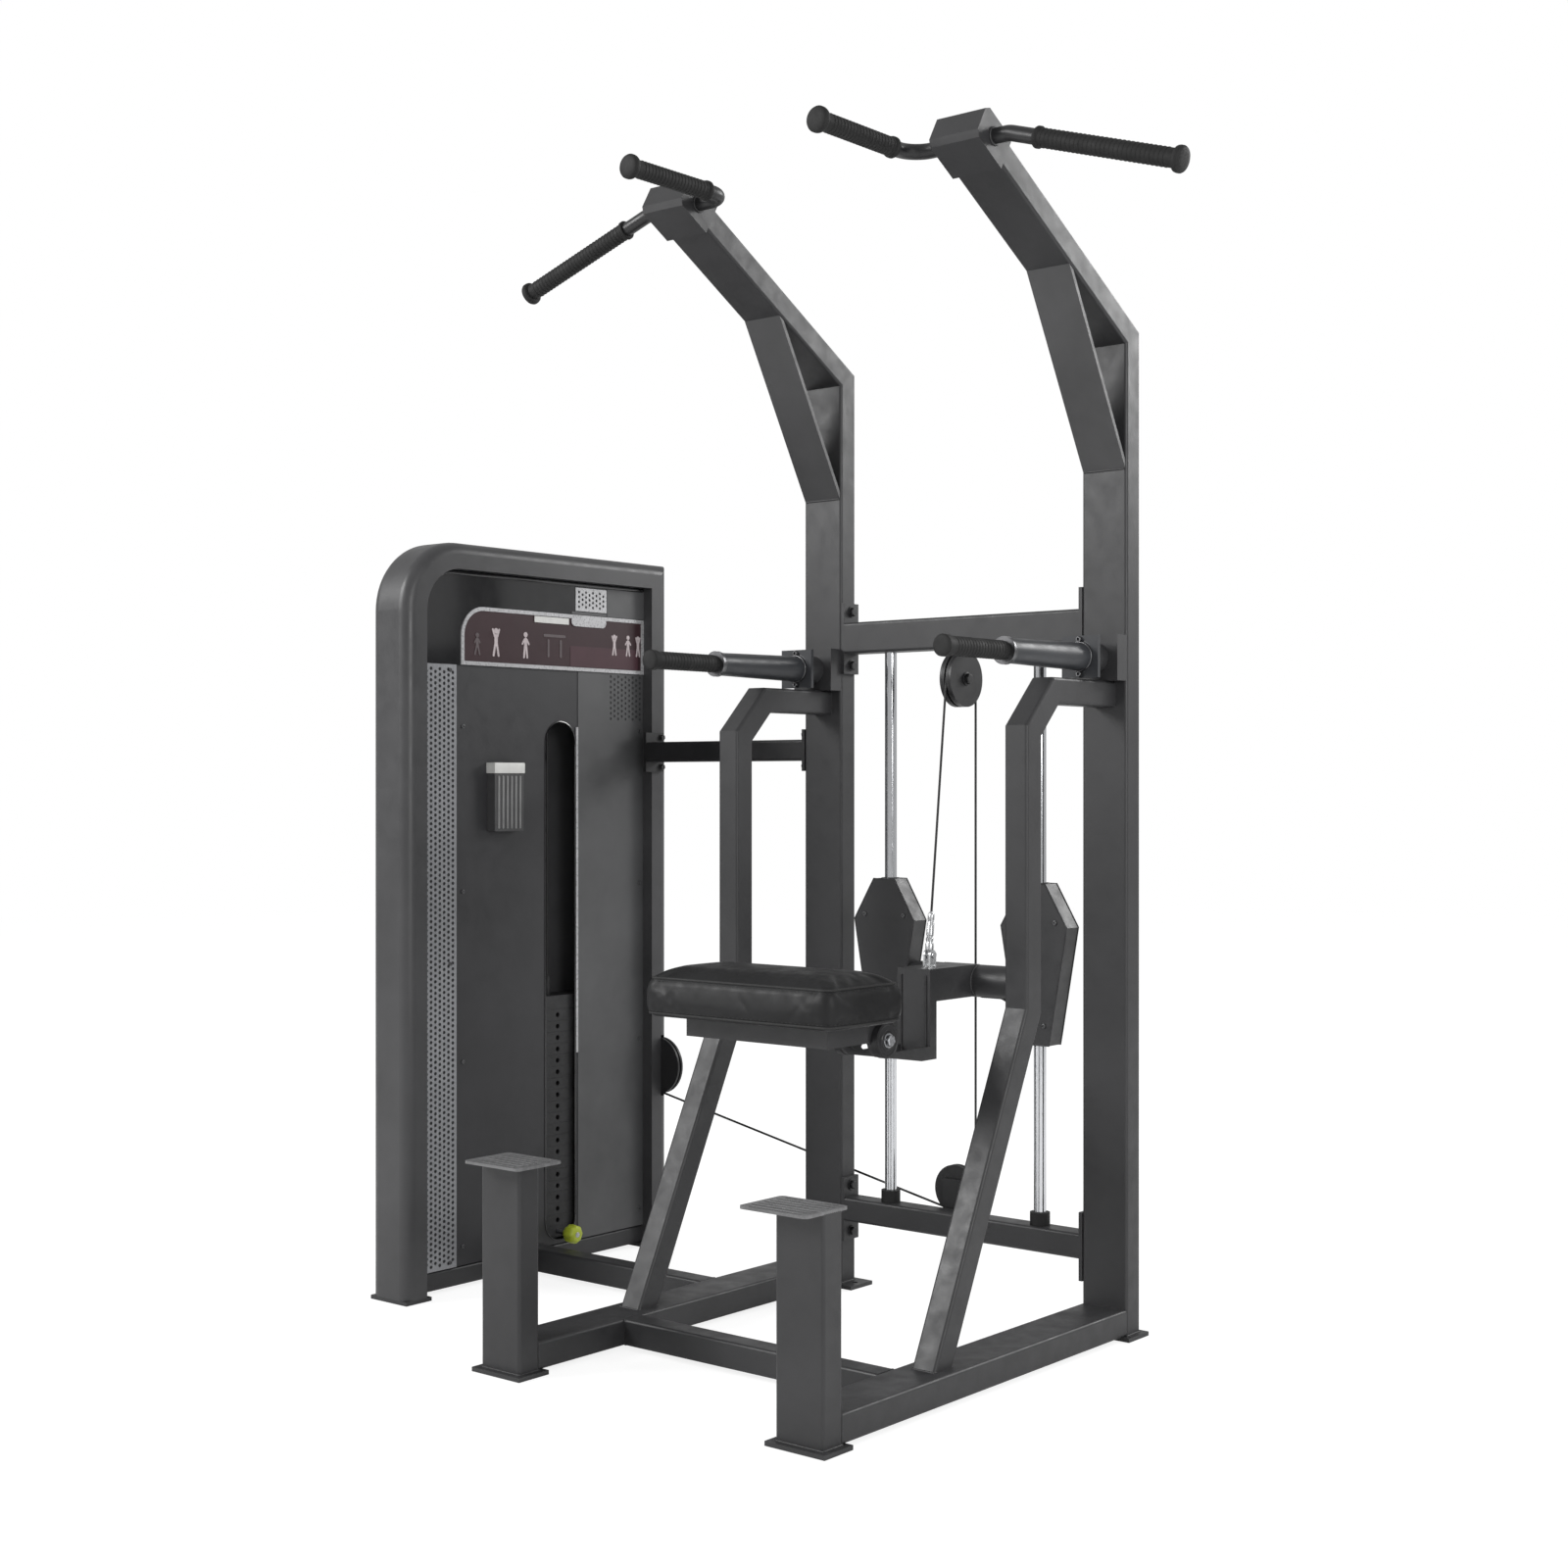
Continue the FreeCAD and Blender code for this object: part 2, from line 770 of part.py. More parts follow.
def main_cable():
    """From the upper pulley's front, down to the lower pulley, into the tower and over its top."""
    leave, angle = carriage_tangent()
    rear = upper_middle + Y_AXIS * upper_pulley_radius
    over = math.degrees(angle) % 360
    pieces = [arc_piece(upper_middle, X_AXIS, rear, over, cable_radius)]
    low_start = lower_middle + X_AXIS * lower_pulley_radius
    pieces.append(straight_piece(rear, low_start))
    low_leave, side_reach, slope = lower_tangents()
    quarter = 90 + math.degrees(slope)
    pieces.append(arc_piece(lower_middle, Y_AXIS, low_start, quarter, cable_radius))
    pieces.append(straight_piece(low_leave, side_reach))
    pieces.append(arc_piece(side_middle, Y_AXIS, side_reach, 90 - math.degrees(slope), cable_radius))
    side_leave = side_middle - X_AXIS * tower_pulley_radius
    top_reach = rear_top_middle + Y_AXIS * top_pulley_radius
    pieces.append(straight_piece(side_leave, top_reach))
    pieces.append(arc_piece(rear_top_middle, X_AXIS, top_reach, 90, cable_radius))
    top_leave = rear_top_middle + Z_AXIS * top_pulley_radius
    front_reach = front_top_middle + Z_AXIS * top_pulley_radius
    pieces.append(straight_piece(top_leave, front_reach))
    pieces.append(arc_piece(front_top_middle, X_AXIS, front_reach, 90, cable_radius))
    return joined(pieces)


def carriage_cable():
    leave, angle = carriage_tangent()
    return straight_piece(carriage_anchor + (leave - carriage_anchor).normalize() * seat_gap, leave)


# Carriage

def cover_outline(inset):
    x = rod_half_spacing
    points = ((cover_low_half, cover_low), (cover_widest_half, cover_widest_height),
              (cover_top_half, cover_top))
    right = [vec(x + half - inset, 0, z) for half, z in points]
    left = [vec(x - half + inset, 0, z) for half, z in reversed(points)]
    shift = (vec(0, 0, inset), ORIGIN, vec(0, 0, -inset), vec(0, 0, -inset), ORIGIN, vec(0, 0, inset))
    return [point + move for point, move in zip(right + left, shift)]


def cover_solid(inset, front, back):
    points = [point - Y_AXIS * front for point in cover_outline(inset)]
    return prism(points, Y_AXIS * (front + back))


def carriage_cover():
    shell = cover_solid(0, cover_front, cover_back)
    shell = shell.cut(cover_solid(cover_wall, cover_front - cover_wall, cover_back - cover_wall))
    way = cylinder(vec(rod_half_spacing, 0, cover_low - overrun), Z_AXIS, rod_radius + cover_rod_gap,
                   cover_top - cover_low + 2 * overrun)
    return shell.cut(way)


def bearing_tube():
    low = cover_low + cover_wall
    return pipe(vec(rod_half_spacing, 0, low), Z_AXIS, bearing_radius, rod_radius + running_gap,
                cover_top - cover_wall - low)


def gusset():
    """Fills the corner under the cross tube, with a hollow curved edge."""
    x1 = rod_half_spacing
    x0 = rod_half_spacing - cover_widest_half - gusset_reach
    top = cross_tube_height
    low = top - cross_tube_radius - gusset_drop
    y = -gusset_thick / 2
    side_x = rod_half_spacing - cover_low_half
    bow_x = (x0 + side_x) / 2 + (side_x - x0) / 4
    bow_z = (top - cross_tube_radius + low) / 2 + gusset_drop / 4
    edges = [Part.LineSegment(vec(x1, y, low), vec(x1, y, top)).toShape(),
             Part.LineSegment(vec(x1, y, top), vec(x0, y, top)).toShape(),
             Part.LineSegment(vec(x0, y, top), vec(x0, y, top - cross_tube_radius)).toShape(),
             Part.Arc(vec(x0, y, top - cross_tube_radius), vec(bow_x, y, bow_z),
                      vec(side_x, y, low)).toShape(),
             Part.LineSegment(vec(side_x, y, low), vec(x1, y, low)).toShape()]
    return Part.Face(Part.Wire(edges)).extrude(Y_AXIS * gusset_thick)


def cheek():
    x0 = cheek_half_spacing - cheek_thick / 2
    slope_back = hinge_reach - hinge_disc_radius
    points = [vec(x0, 0, cheek_top), vec(x0, -cheek_front, cheek_top),
              vec(x0, -cheek_front, cheek_step), vec(x0, -slope_back, cheek_step),
              vec(x0, -hinge_reach, hinge_height), vec(x0, -nose_back, tray_under - seat_gap),
              vec(x0, -nose_front, tray_under - seat_gap), vec(x0, -nose_front, hinge_height),
              vec(x0, -hinge_reach, hinge_height - hinge_disc_radius),
              vec(x0, -cheek_slope_reach, cheek_low), vec(x0, -cheek_back, cheek_low),
              vec(x0, -cheek_back, cheek_under), vec(x0, 0, cheek_under)]
    plate = prism(points, X_AXIS * cheek_thick)
    disc = cylinder(vec(x0, -hinge_reach, hinge_height), X_AXIS, hinge_disc_radius, cheek_thick)
    return joined([plate, disc])


tray_under = pad_low - seat_gap - tray_thick


def carriage_frame():
    """Cross tube with gussets, and the bracket that reaches forward to the platform's hinge."""
    span = rod_half_spacing
    tube = cylinder(vec(-span, 0, cross_tube_height), X_AXIS, cross_tube_radius, 2 * span)
    bore = cylinder(vec(-span, 0, cross_tube_height), X_AXIS, cross_tube_radius - cross_tube_wall, 2 * span)
    side = cheek()
    inner = cheek_half_spacing - cheek_thick / 2
    roof = block(-inner, inner, -cheek_front, 0, cheek_top - cheek_thick, cheek_top)
    web = block(-inner, inner, -cheek_front, -cheek_front + cheek_thick, cheek_low, cheek_top)
    corner = gusset()
    frame = joined([tube, side, mirrored(side), roof, web, corner, mirrored(corner)])
    frame = frame.cut(bore)
    reach = cover_back + cross_tube_radius
    cover = cover_solid(0, reach, reach)
    frame = frame.cut(cover).cut(mirrored(cover))
    hole = cylinder(vec(-tube_wide, -hinge_reach, hinge_height), X_AXIS, hinge_pin_radius, 2 * tube_wide)
    return frame.cut(hole)


def cable_anchor():
    base = cylinder(vec(0, -anchor_reach, cheek_top), Z_AXIS, anchor_radius,
                    anchor_height - cheek_top - anchor_radius)
    ball = Part.makeSphere(anchor_radius, vec(0, -anchor_reach, anchor_height - anchor_radius))
    return joined([base, ball])


def hinge_pin():
    """The pin through the bracket, with a round boss and a bolt head on each side."""
    y = -hinge_reach
    z = hinge_height
    outer = cheek_half_spacing + cheek_thick / 2
    pin = cylinder(vec(-outer, y, z), X_AXIS, hinge_pin_radius, 2 * outer)
    parts = [pin]
    for side in SIDES:
        parts.append(cylinder(vec(side * outer, y, z), X_AXIS * side, boss_radius, boss_thick))
        parts.append(cylinder(vec(side * (outer + boss_thick), y, z), X_AXIS * side,
                              boss_bolt_radius, boss_bolt_thick))
    return joined(parts)


# Platform

def platform_tray():
    top = tray_under + tray_thick
    low = top - tray_tall
    plate = block(-tray_half_width, tray_half_width, -tray_front, -tray_back, tray_under, top)
    tongue = block(-tongue_half_width, tongue_half_width, -tray_back, -tongue_back, tray_under, top)
    flange = block(tongue_half_width - tray_thick, tongue_half_width, -tray_back, -nose_front - nose_clearance,
                   top - tongue_flange_tall, top)
    front = block(-tray_half_width, tray_half_width, -tray_front, -tray_front + tray_thick, low, top)
    side = block(tray_half_width - tray_thick, tray_half_width, -tray_front, -tray_back, low, top)
    x0 = lug_half_spacing - lug_thick / 2
    lug = block(x0, x0 + lug_thick, -hinge_reach - lug_radius, -hinge_reach + lug_radius,
                hinge_height, tray_under)
    eye = cylinder(vec(x0, -hinge_reach, hinge_height), X_AXIS, lug_radius, lug_thick)
    lug = joined([lug, eye])
    tray = joined([plate, front, side, mirrored(side), tongue, flange, mirrored(flange),
                   lug, mirrored(lug)])
    hole = cylinder(vec(-tube_wide, -hinge_reach, hinge_height), X_AXIS,
                    hinge_pin_radius + running_gap, 2 * tube_wide)
    return tray.cut(hole)


def rounded_outline(inset, z, corner):
    """A rectangle with round corners, drawn in by inset from the pad's widest outline."""
    x = pad_half_width - inset
    y0 = -pad_front + inset
    y1 = -pad_back - inset
    diagonal = corner * (1 - math.cos(math.pi / 4))
    edges = [Part.LineSegment(vec(-x + corner, y0, z), vec(x - corner, y0, z)).toShape(),
             Part.Arc(vec(x - corner, y0, z), vec(x - diagonal, y0 + diagonal, z),
                      vec(x, y0 + corner, z)).toShape(),
             Part.LineSegment(vec(x, y0 + corner, z), vec(x, y1 - corner, z)).toShape(),
             Part.Arc(vec(x, y1 - corner, z), vec(x - diagonal, y1 - diagonal, z),
                      vec(x - corner, y1, z)).toShape(),
             Part.LineSegment(vec(x - corner, y1, z), vec(-x + corner, y1, z)).toShape(),
             Part.Arc(vec(-x + corner, y1, z), vec(-x + diagonal, y1 - diagonal, z),
                      vec(-x, y1 - corner, z)).toShape(),
             Part.LineSegment(vec(-x, y1 - corner, z), vec(-x, y0 + corner, z)).toShape(),
             Part.Arc(vec(-x, y0 + corner, z), vec(-x + diagonal, y0 + diagonal, z),
                      vec(-x + corner, y0, z)).toShape()]
    return Part.Wire(edges)


def knee_pad():
    """A cushion with drawn-in lower and upper edges and a crowned top."""
    top = pad_low + pad_tall
    rows = ((pad_draw_in, pad_low, pad_corner - pad_draw_in),
            (0, pad_low + pad_tall / 3, pad_corner),
            (pad_draw_in / 4, top - pad_tall / 4, pad_corner - pad_draw_in / 4),
            (pad_draw_in * 2, top, pad_corner - pad_draw_in),
            ((pad_front - pad_back) / 4, top + pad_crown, pad_corner))
    return Part.makeLoft([rounded_outline(*row) for row in rows], True, True)


# Weight tower

def leg_face(inset, y, outward, z):
    """The tower tube's outline: flat towards the panels, with two round corners outside."""
    x0 = -tower_inner_x - tower_wide + inset
    x1 = -tower_inner_x - inset
    radius = arch_edge_radius - inset
    diagonal = radius * math.cos(math.pi / 4)
    near = y + outward * inset
    bend = y + outward * (arch_band - arch_edge_radius)
    far = bend + outward * radius
    edges = [Part.LineSegment(vec(x0, near, z), vec(x1, near, z)),
             Part.LineSegment(vec(x1, near, z), vec(x1, bend, z)),
             Part.Arc(vec(x1, bend, z), vec(x1 - radius + diagonal, bend + outward * diagonal, z),
                      vec(x1 - radius, far, z)),
             Part.LineSegment(vec(x1 - radius, far, z), vec(x0 + radius, far, z)),
             Part.Arc(vec(x0 + radius, far, z), vec(x0 + radius - diagonal, bend + outward * diagonal, z),
                      vec(x0, bend, z)),
             Part.LineSegment(vec(x0, bend, z), vec(x0, near, z))]
    return Part.Face(Part.Wire([edge_line.toShape() for edge_line in edges]))


def arch_solid(inset):
    """The arch without its hollow: front leg, round front corner, top band, square back corner."""
    front_y = -tower_front + arch_band
    back_y = tower_back - arch_band
    under = tower_height - arch_band
    bend = arch_corner_radius - arch_band
    start_z = under - bend
    front = leg_face(inset, front_y, -1, floor_plate_thick).extrude(Z_AXIS * (start_z - floor_plate_thick))
    axis_point = vec(0, front_y + bend, start_z)
    corner = leg_face(inset, front_y, -1, start_z).revolve(axis_point, X_AXIS * -1, 90)
    flat = leg_face(inset, front_y, -1, start_z)
    flat.rotate(axis_point, X_AXIS * -1, 90)
    run = back_y + arch_band * 2 - (front_y + bend)
    top = flat.extrude(Y_AXIS * run)
    back = leg_face(inset, back_y, 1, floor_plate_thick).extrude(Z_AXIS * (tower_height + arch_band))
    corner_point = vec(0, back_y, under)
    top = top.cut(beyond(corner_point, vec(0, 1, -1).normalize(), tower_height))
    back = back.cut(beyond(corner_point, vec(0, -1, 1).normalize(), tower_height))
    return joined([front, corner, top, back])


def tower_arch():
    arch = arch_solid(0).cut(arch_solid(arch_wall))
    clear = side_gap + pulley_rim
    reach = tower_pulley_radius + clear + 2 * cable_radius
    half = pulley_thick / 2 + side_gap
    side_slot = block(stack_x, -tower_inner_x + overrun, cable_plane - half, cable_plane + half,
                      side_middle.z - reach, side_middle.z + reach)
    top_reach = top_pulley_radius + clear
    hanger_half = cheek_gap + bracket_thick + side_gap
    y = tower_back - arch_band
    top_slot = block(stack_x - hanger_half, stack_x + hanger_half, y - overrun,
                     y + arch_wall + side_gap, top_pulley_height - top_reach, tower_height - arch_band)
    return arch.cut(side_slot).cut(top_slot)


def tower_panel(face, way):
    """A sheet between the legs, from above the floor to the top band."""
    x0 = min(face, face + way * panel_thick)
    y0 = -tower_front + arch_band
    y1 = tower_back - arch_band
    ceiling = tower_ceiling
    sheet = block(x0, x0 + panel_thick, y0, y1, panel_low, ceiling)
    corner = arch_corner_radius - arch_band
    edges = [edge for edge in along_edges(sheet, X_AXIS)
             if edge.Vertexes[0].Y < y0 + corner and edge.Vertexes[0].Z > ceiling - corner]
    return sheet.makeFillet(corner, edges)


def inner_panel():
    sheet = tower_panel(panel_face, -1)
    radius = slot_wide / 2
    slot = block(panel_face - overrun, panel_face + overrun, -slot_middle - radius, -slot_middle + radius,
                 slot_low + radius, slot_top - radius)
    ends = [cylinder(vec(panel_face - overrun, -slot_middle, z), X_AXIS, radius, 2 * overrun)
            for z in (slot_low + radius, slot_top - radius)]
    link = block(panel_face - overrun, panel_face + overrun, -link_tube_reach - half_deep - seat_gap,
                 -link_tube_reach + half_deep + seat_gap, 0, rail_top + seat_gap)
    return sheet.cut(slot).cut(ends[0]).cut(ends[1]).cut(link)


def outer_panel():
    return tower_panel(far_face, -1)


def perforated_strip():
    """A pale strip behind the front leg with two staggered columns of round holes."""
    y0 = -strip_edge - strip_wide
    strip = block(panel_face, panel_face + strip_thick, y0, -strip_edge, panel_low, strip_top)
    holes = []
    count = int((strip_top - panel_low) / strip_hole_pitch)
    for step in range(count):
        column = (step % 2) * 2 - 1
        y = y0 + strip_wide / 2 + column * strip_wide / 5
        z = panel_low + (step + 1 / 2) * strip_hole_pitch
        holes.append(cylinder(vec(panel_face, y, z), X_AXIS, strip_hole_radius, strip_thick))
    return strip.cut(Part.makeCompound(holes))


def top_cover():
    """The glossy band across the top of the inner panel, down behind the placard's front end."""
    y0 = -tower_front + arch_band
    y1 = tower_back - arch_band
    ceiling = tower_ceiling
    corner = arch_corner_radius - arch_band
    sheet = block(panel_face, panel_face + placard_thick, y0, y1, strip_top, ceiling)
    edges = [edge for edge in along_edges(sheet, X_AXIS)
             if edge.Vertexes[0].Y < y0 + corner and edge.Vertexes[0].Z > ceiling - corner]
    sheet = sheet.makeFillet(corner, edges)
    return sheet.cut(placard_shape(overrun))


def placard_shape(thick):
    y1 = tower_back - arch_band
    y0 = -placard_front
    tall = cover_band_low - placard_low
    sheet = block(panel_face, panel_face + thick, y0, y1 + overrun, placard_low, placard_low + tall)
    edges = [edge for edge in along_edges(sheet, X_AXIS)
             if edge.Vertexes[0].Y < y1 and edge.Vertexes[0].Z > cover_band_low - tall / 2]
    sheet = sheet.makeFillet(tall / 2, edges)
    return sheet.cut(block(panel_face - overrun, panel_face + 2 * overrun, y1, y1 + 2 * overrun,
                           placard_low - overrun, cover_band_low + overrun))


def accessory_tray():
    """A small open pocket on the inner panel."""
    y0 = -holder_middle - holder_wide / 2
    y1 = -holder_middle + holder_wide / 2
    top = holder_low + holder_tall
    body = block(panel_face, panel_face + holder_deep, y0, y1, holder_low, top)
    body = body.makeFillet(holder_wall, along_edges(body, Z_AXIS)[:2])
    pocket = block(panel_face + holder_wall, panel_face + holder_deep - holder_wall,
                   y0 + holder_wall, y1 - holder_wall, holder_low + holder_wall, top + overrun)
    return body.cut(pocket)


def tower_base():
    """The tube that joins the two legs at the floor and carries the weight stack."""
    return hollow_bar(far_face, panel_face - panel_thick, -tower_front + arch_band,
                      tower_back - arch_band, floor_plate_thick, tower_base_top, Y_AXIS)


def rod_plate():
    """The plate that holds the tops of the stack's guide rods between the two panels."""
    reach = stack_rod_half_spacing + 2 * stack_rod_radius
    plate = block(far_face, panel_face - panel_thick, -slot_middle - reach,
                  -slot_middle + reach, rod_plate_height, rod_plate_height + rod_plate_thick)
    way = cylinder(vec(stack_x, -slot_middle, rod_plate_height), Z_AXIS,
                   2 * cable_ferrule_radius, rod_plate_thick)
    return plate.cut(way)


def stack_rod_points():
    return [-slot_middle - stack_rod_half_spacing, -slot_middle + stack_rod_half_spacing]


def stack_guide_rods():
    rods = []
    for y in stack_rod_points():
        rods.append(cylinder(vec(stack_x, y, tower_base_top), Z_AXIS, stack_rod_radius,
                             rod_plate_height - tower_base_top))
    return group(rods)


def stack_cushions():
    rings = []
    for y in stack_rod_points():
        rings.append(pipe(vec(stack_x, y, tower_base_top), Z_AXIS, cushion_radius,
                          stack_rod_radius, cushion_tall))
    return rings


stack_low = tower_base_top + cushion_tall + seat_gap
plate_pitch = plate_thick + seat_gap
head_low = stack_low + plate_count * plate_pitch
head_top = head_low + head_plate_thick


def stack_plate(low, thick):
    half = plate_wide / 2
    plate = block(stack_x - half, stack_x + half, -slot_middle - plate_long / 2,
                  -slot_middle + plate_long / 2, low, low + thick)
    for y in stack_rod_points():
        plate = plate.cut(cylinder(vec(stack_x, y, low), Z_AXIS,
                                   stack_rod_radius + stack_rod_gap, thick))
    return plate


def weight_plates():
    plates = []
    for step in range(plate_count):
        low = stack_low + step * plate_pitch
        plate = stack_plate(low, plate_thick)
        plate = plate.cut(cylinder(vec(stack_x, -slot_middle, low), Z_AXIS,
                                   selector_radius + selector_gap, plate_thick))
        hole = cylinder(vec(stack_x, -slot_middle, low + plate_thick / 2), X_AXIS,
                        pin_radius + pin_gap, plate_wide)
        plates.append(plate.cut(hole))
    return group(plates)


def selector_rod():
    rod = cylinder(vec(stack_x, -slot_middle, stack_low), Z_AXIS, selector_radius,
                   head_low - stack_low)
    for step in range(plate_count):
        z = stack_low + step * plate_pitch + plate_thick / 2
        start = vec(stack_x - selector_radius - overrun, -slot_middle, z)
        rod = rod.cut(cylinder(start, X_AXIS, pin_radius + pin_gap, 2 * (selector_radius + overrun)))
    return rod


def head_plate():
    plate = stack_plate(head_low, head_plate_thick)
    ferrule = cylinder(vec(stack_x, -slot_middle, head_top), Z_AXIS, cable_ferrule_radius,
                       cable_ferrule_tall)
    return joined([plate, ferrule])


pin_height = stack_low + plate_thick / 2
knob_start = panel_face + knob_stand_off


def selector_pin():
    start = vec(stack_x - pin_tip, -slot_middle, pin_height)
    return cylinder(start, X_AXIS, pin_radius, knob_start - start.x)


def selector_knob():
    knob = cylinder(vec(knob_start, -slot_middle, pin_height), X_AXIS, knob_radius, knob_length)
    rims = [edge for edge in knob.Edges if len(edge.Vertexes) == 1]
    return knob.makeFillet(knob_length / 4, rims)


def stack_cable():
    low = head_top + cable_ferrule_tall + seat_gap
    return cylinder(vec(stack_x, -slot_middle, low), Z_AXIS, cable_radius, top_pulley_height - low)


def build():
    os.makedirs("parts", exist_ok=True)
    right_rail = base_rail()
    save("right_base_rail", right_rail)
    save("left_base_rail", mirrored(right_rail))
    right_upright = upright()
    save("right_upright", right_upright)
    save("left_upright", mirrored(right_upright))
    save("pullup_arms", pair(pullup_arm()))
    save("arm_braces", pair(arm_brace()))
    save("front_supports", pair(front_support()))
    save("struts", pair(strut()))
    save("step_columns", pair(step_column()))
    save("step_plates", pair(step_plate()))
    plates = [upright_floor_plate(), column_floor_plate()]
    plates += [mirrored(plate) for plate in plates]
    save("floor_plates", group(plates + tower_floor_plates()))
    save("front_cross_tube", front_cross_tube())
    save("tower_link_tube", tower_link_tube())
    save("upper_tie_tube", upper_tie_tube())
    save("top_crossbar", crossbar(top_bar_low, top_bar_tall))
    save("lower_crossbar", crossbar(low_bar_low, tube_deep))
    save("frame_bolts", group(crossbar_bolts() + dip_bolts()))
    save("arm_heads", pair(arm_head()))
    save("wide_bars", pair(wide_bar()))
    save("neutral_bars", pair(neutral_bar()))
    grips = [wide_grip(), neutral_grip()]
    save("pullup_grips", group(grips + [mirrored(grip) for grip in grips]))
    caps = [end_cap(wide_end, wide_way), end_cap(neutral_end, Y_AXIS * -1)]
    save("pullup_end_caps", group(caps + [mirrored(cap) for cap in caps]))
    save("dip_brackets", pair(dip_bracket()))
    save("dip_handles", pair(dip_handle()))
    save("dip_grips", pair(dip_grip()))
    save("dip_rings", pair(dip_ring()))
    save("guide_rods", pair(guide_rod()))
    save("rubber_stops", group(rod_collars() + stack_cushions()))
    save("upper_pulley", pulley(upper_middle, X_AXIS, upper_pulley_radius))
    save("upper_pulley_bracket", upper_pulley_bracket())
    save("lower_pulley", pulley(lower_middle, Y_AXIS, lower_pulley_radius))
    save("lower_pulley_bracket", lower_pulley_bracket())
    save("tower_side_pulley", pulley(side_middle, Y_AXIS, tower_pulley_radius))
    save("rear_top_pulley", pulley(rear_top_middle, X_AXIS, top_pulley_radius))
    save("front_top_pulley", pulley(front_top_middle, X_AXIS, top_pulley_radius))
    save("tower_hangers", group(tower_hangers() + [rod_plate()]))
    save("main_cable", main_cable())
    save("carriage_cable", carriage_cable())
    save("stack_cable", stack_cable())
    save("carriage_covers", pair(carriage_cover()))
    save("bearing_tubes", pair(bearing_tube()))
    save("carriage_frame", carriage_frame())
    save("cable_anchor", cable_anchor())
    save("hinge_pin", hinge_pin())
    save("platform_tray", platform_tray())
    save("knee_pad", knee_pad())
    save("tower_arch", tower_arch())
    save("inner_panel", inner_panel())
    save("outer_panel", outer_panel())
    save("perforated_strip", perforated_strip())
    save("top_cover", top_cover())
    save("placard", placard_shape(placard_thick))
    save("accessory_tray", accessory_tray())
    save("tower_base", tower_base())
    save("stack_guide_rods", stack_guide_rods())
    save("weight_plates", weight_plates())
    save("head_plate", head_plate())
    save("selector_rod", selector_rod())
    save("selector_pin", selector_pin())
    save("selector_knob", selector_knob())


build()
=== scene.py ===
import bpy
import bmesh
import math
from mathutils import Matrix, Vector
from mathutils.bvhtree import BVHTree


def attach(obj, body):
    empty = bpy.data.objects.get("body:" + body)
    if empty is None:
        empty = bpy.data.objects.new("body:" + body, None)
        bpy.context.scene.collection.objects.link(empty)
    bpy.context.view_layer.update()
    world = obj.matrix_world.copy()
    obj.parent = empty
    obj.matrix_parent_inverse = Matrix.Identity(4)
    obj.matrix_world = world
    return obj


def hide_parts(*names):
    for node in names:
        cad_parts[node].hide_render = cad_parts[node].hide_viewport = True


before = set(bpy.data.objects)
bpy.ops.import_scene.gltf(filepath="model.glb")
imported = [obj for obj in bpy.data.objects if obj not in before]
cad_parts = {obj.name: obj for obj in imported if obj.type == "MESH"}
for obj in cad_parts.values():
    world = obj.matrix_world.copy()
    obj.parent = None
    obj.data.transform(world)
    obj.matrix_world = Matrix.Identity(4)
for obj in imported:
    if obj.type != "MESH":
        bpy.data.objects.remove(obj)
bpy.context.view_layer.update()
MM = 0.001
TURN = 2 * math.pi
SIDES = (-1, 1)
X = Vector((1, 0, 0))
Y = Vector((0, 1, 0))
Z = Vector((0, 0, 1))


def mm(x, y, z):
    return Vector((x, y, z)) * MM


# Materials

NOISE_LOW = 0.3
NOISE_HIGH = 0.7
NOISE_ROUGHNESS = 0.55
COAT_ROUGHNESS = 0.12
GLOSS_PER_MOTTLE = 6


def new_material(name):
    mat = bpy.data.materials.new(name)
    mat.use_nodes = True
    tree = mat.node_tree
    shader = tree.nodes["Principled BSDF"]
    return mat, tree, shader


def node(tree, kind, **settings):
    made = tree.nodes.new(kind)
    for key, value in settings.items():
        setattr(made, key, value)
    return made


def noise(tree, scale, detail=3.0, stretch=(1, 1, 1)):
    place = node(tree, "ShaderNodeTexCoord")
    mapping = node(tree, "ShaderNodeMapping")
    mapping.inputs["Scale"].default_value = stretch
    tree.links.new(place.outputs["Object"], mapping.inputs["Vector"])
    tex = node(tree, "ShaderNodeTexNoise")
    tex.inputs["Scale"].default_value = scale
    tex.inputs["Detail"].default_value = detail
    tex.inputs["Roughness"].default_value = NOISE_ROUGHNESS
    tree.links.new(mapping.outputs["Vector"], tex.inputs["Vector"])
    return tex.outputs["Fac"]


def cells(tree, scale):
    place = node(tree, "ShaderNodeTexCoord")
    tex = node(tree, "ShaderNodeTexVoronoi", feature="DISTANCE_TO_EDGE")
    tex.inputs["Scale"].default_value = scale
    tree.links.new(place.outputs["Object"], tex.inputs["Vector"])
    return tex.outputs["Distance"]


def ramp(tree, source, low, high):
    made = node(tree, "ShaderNodeMapRange")
    tree.links.new(source, made.inputs["Value"])
    made.inputs["From Min"].default_value = NOISE_LOW
    made.inputs["From Max"].default_value = NOISE_HIGH
    made.inputs["To Min"].default_value = low
    made.inputs["To Max"].default_value = high
    return made.outputs["Result"]


def tint(tree, source, dark, light):
    made = node(tree, "ShaderNodeValToRGB")
    made.color_ramp.elements[0].position = NOISE_LOW
    made.color_ramp.elements[0].color = (*dark, 1)
    made.color_ramp.elements[1].position = NOISE_HIGH
    made.color_ramp.elements[1].color = (*light, 1)
    tree.links.new(source, made.inputs["Fac"])
    return made.outputs["Color"]


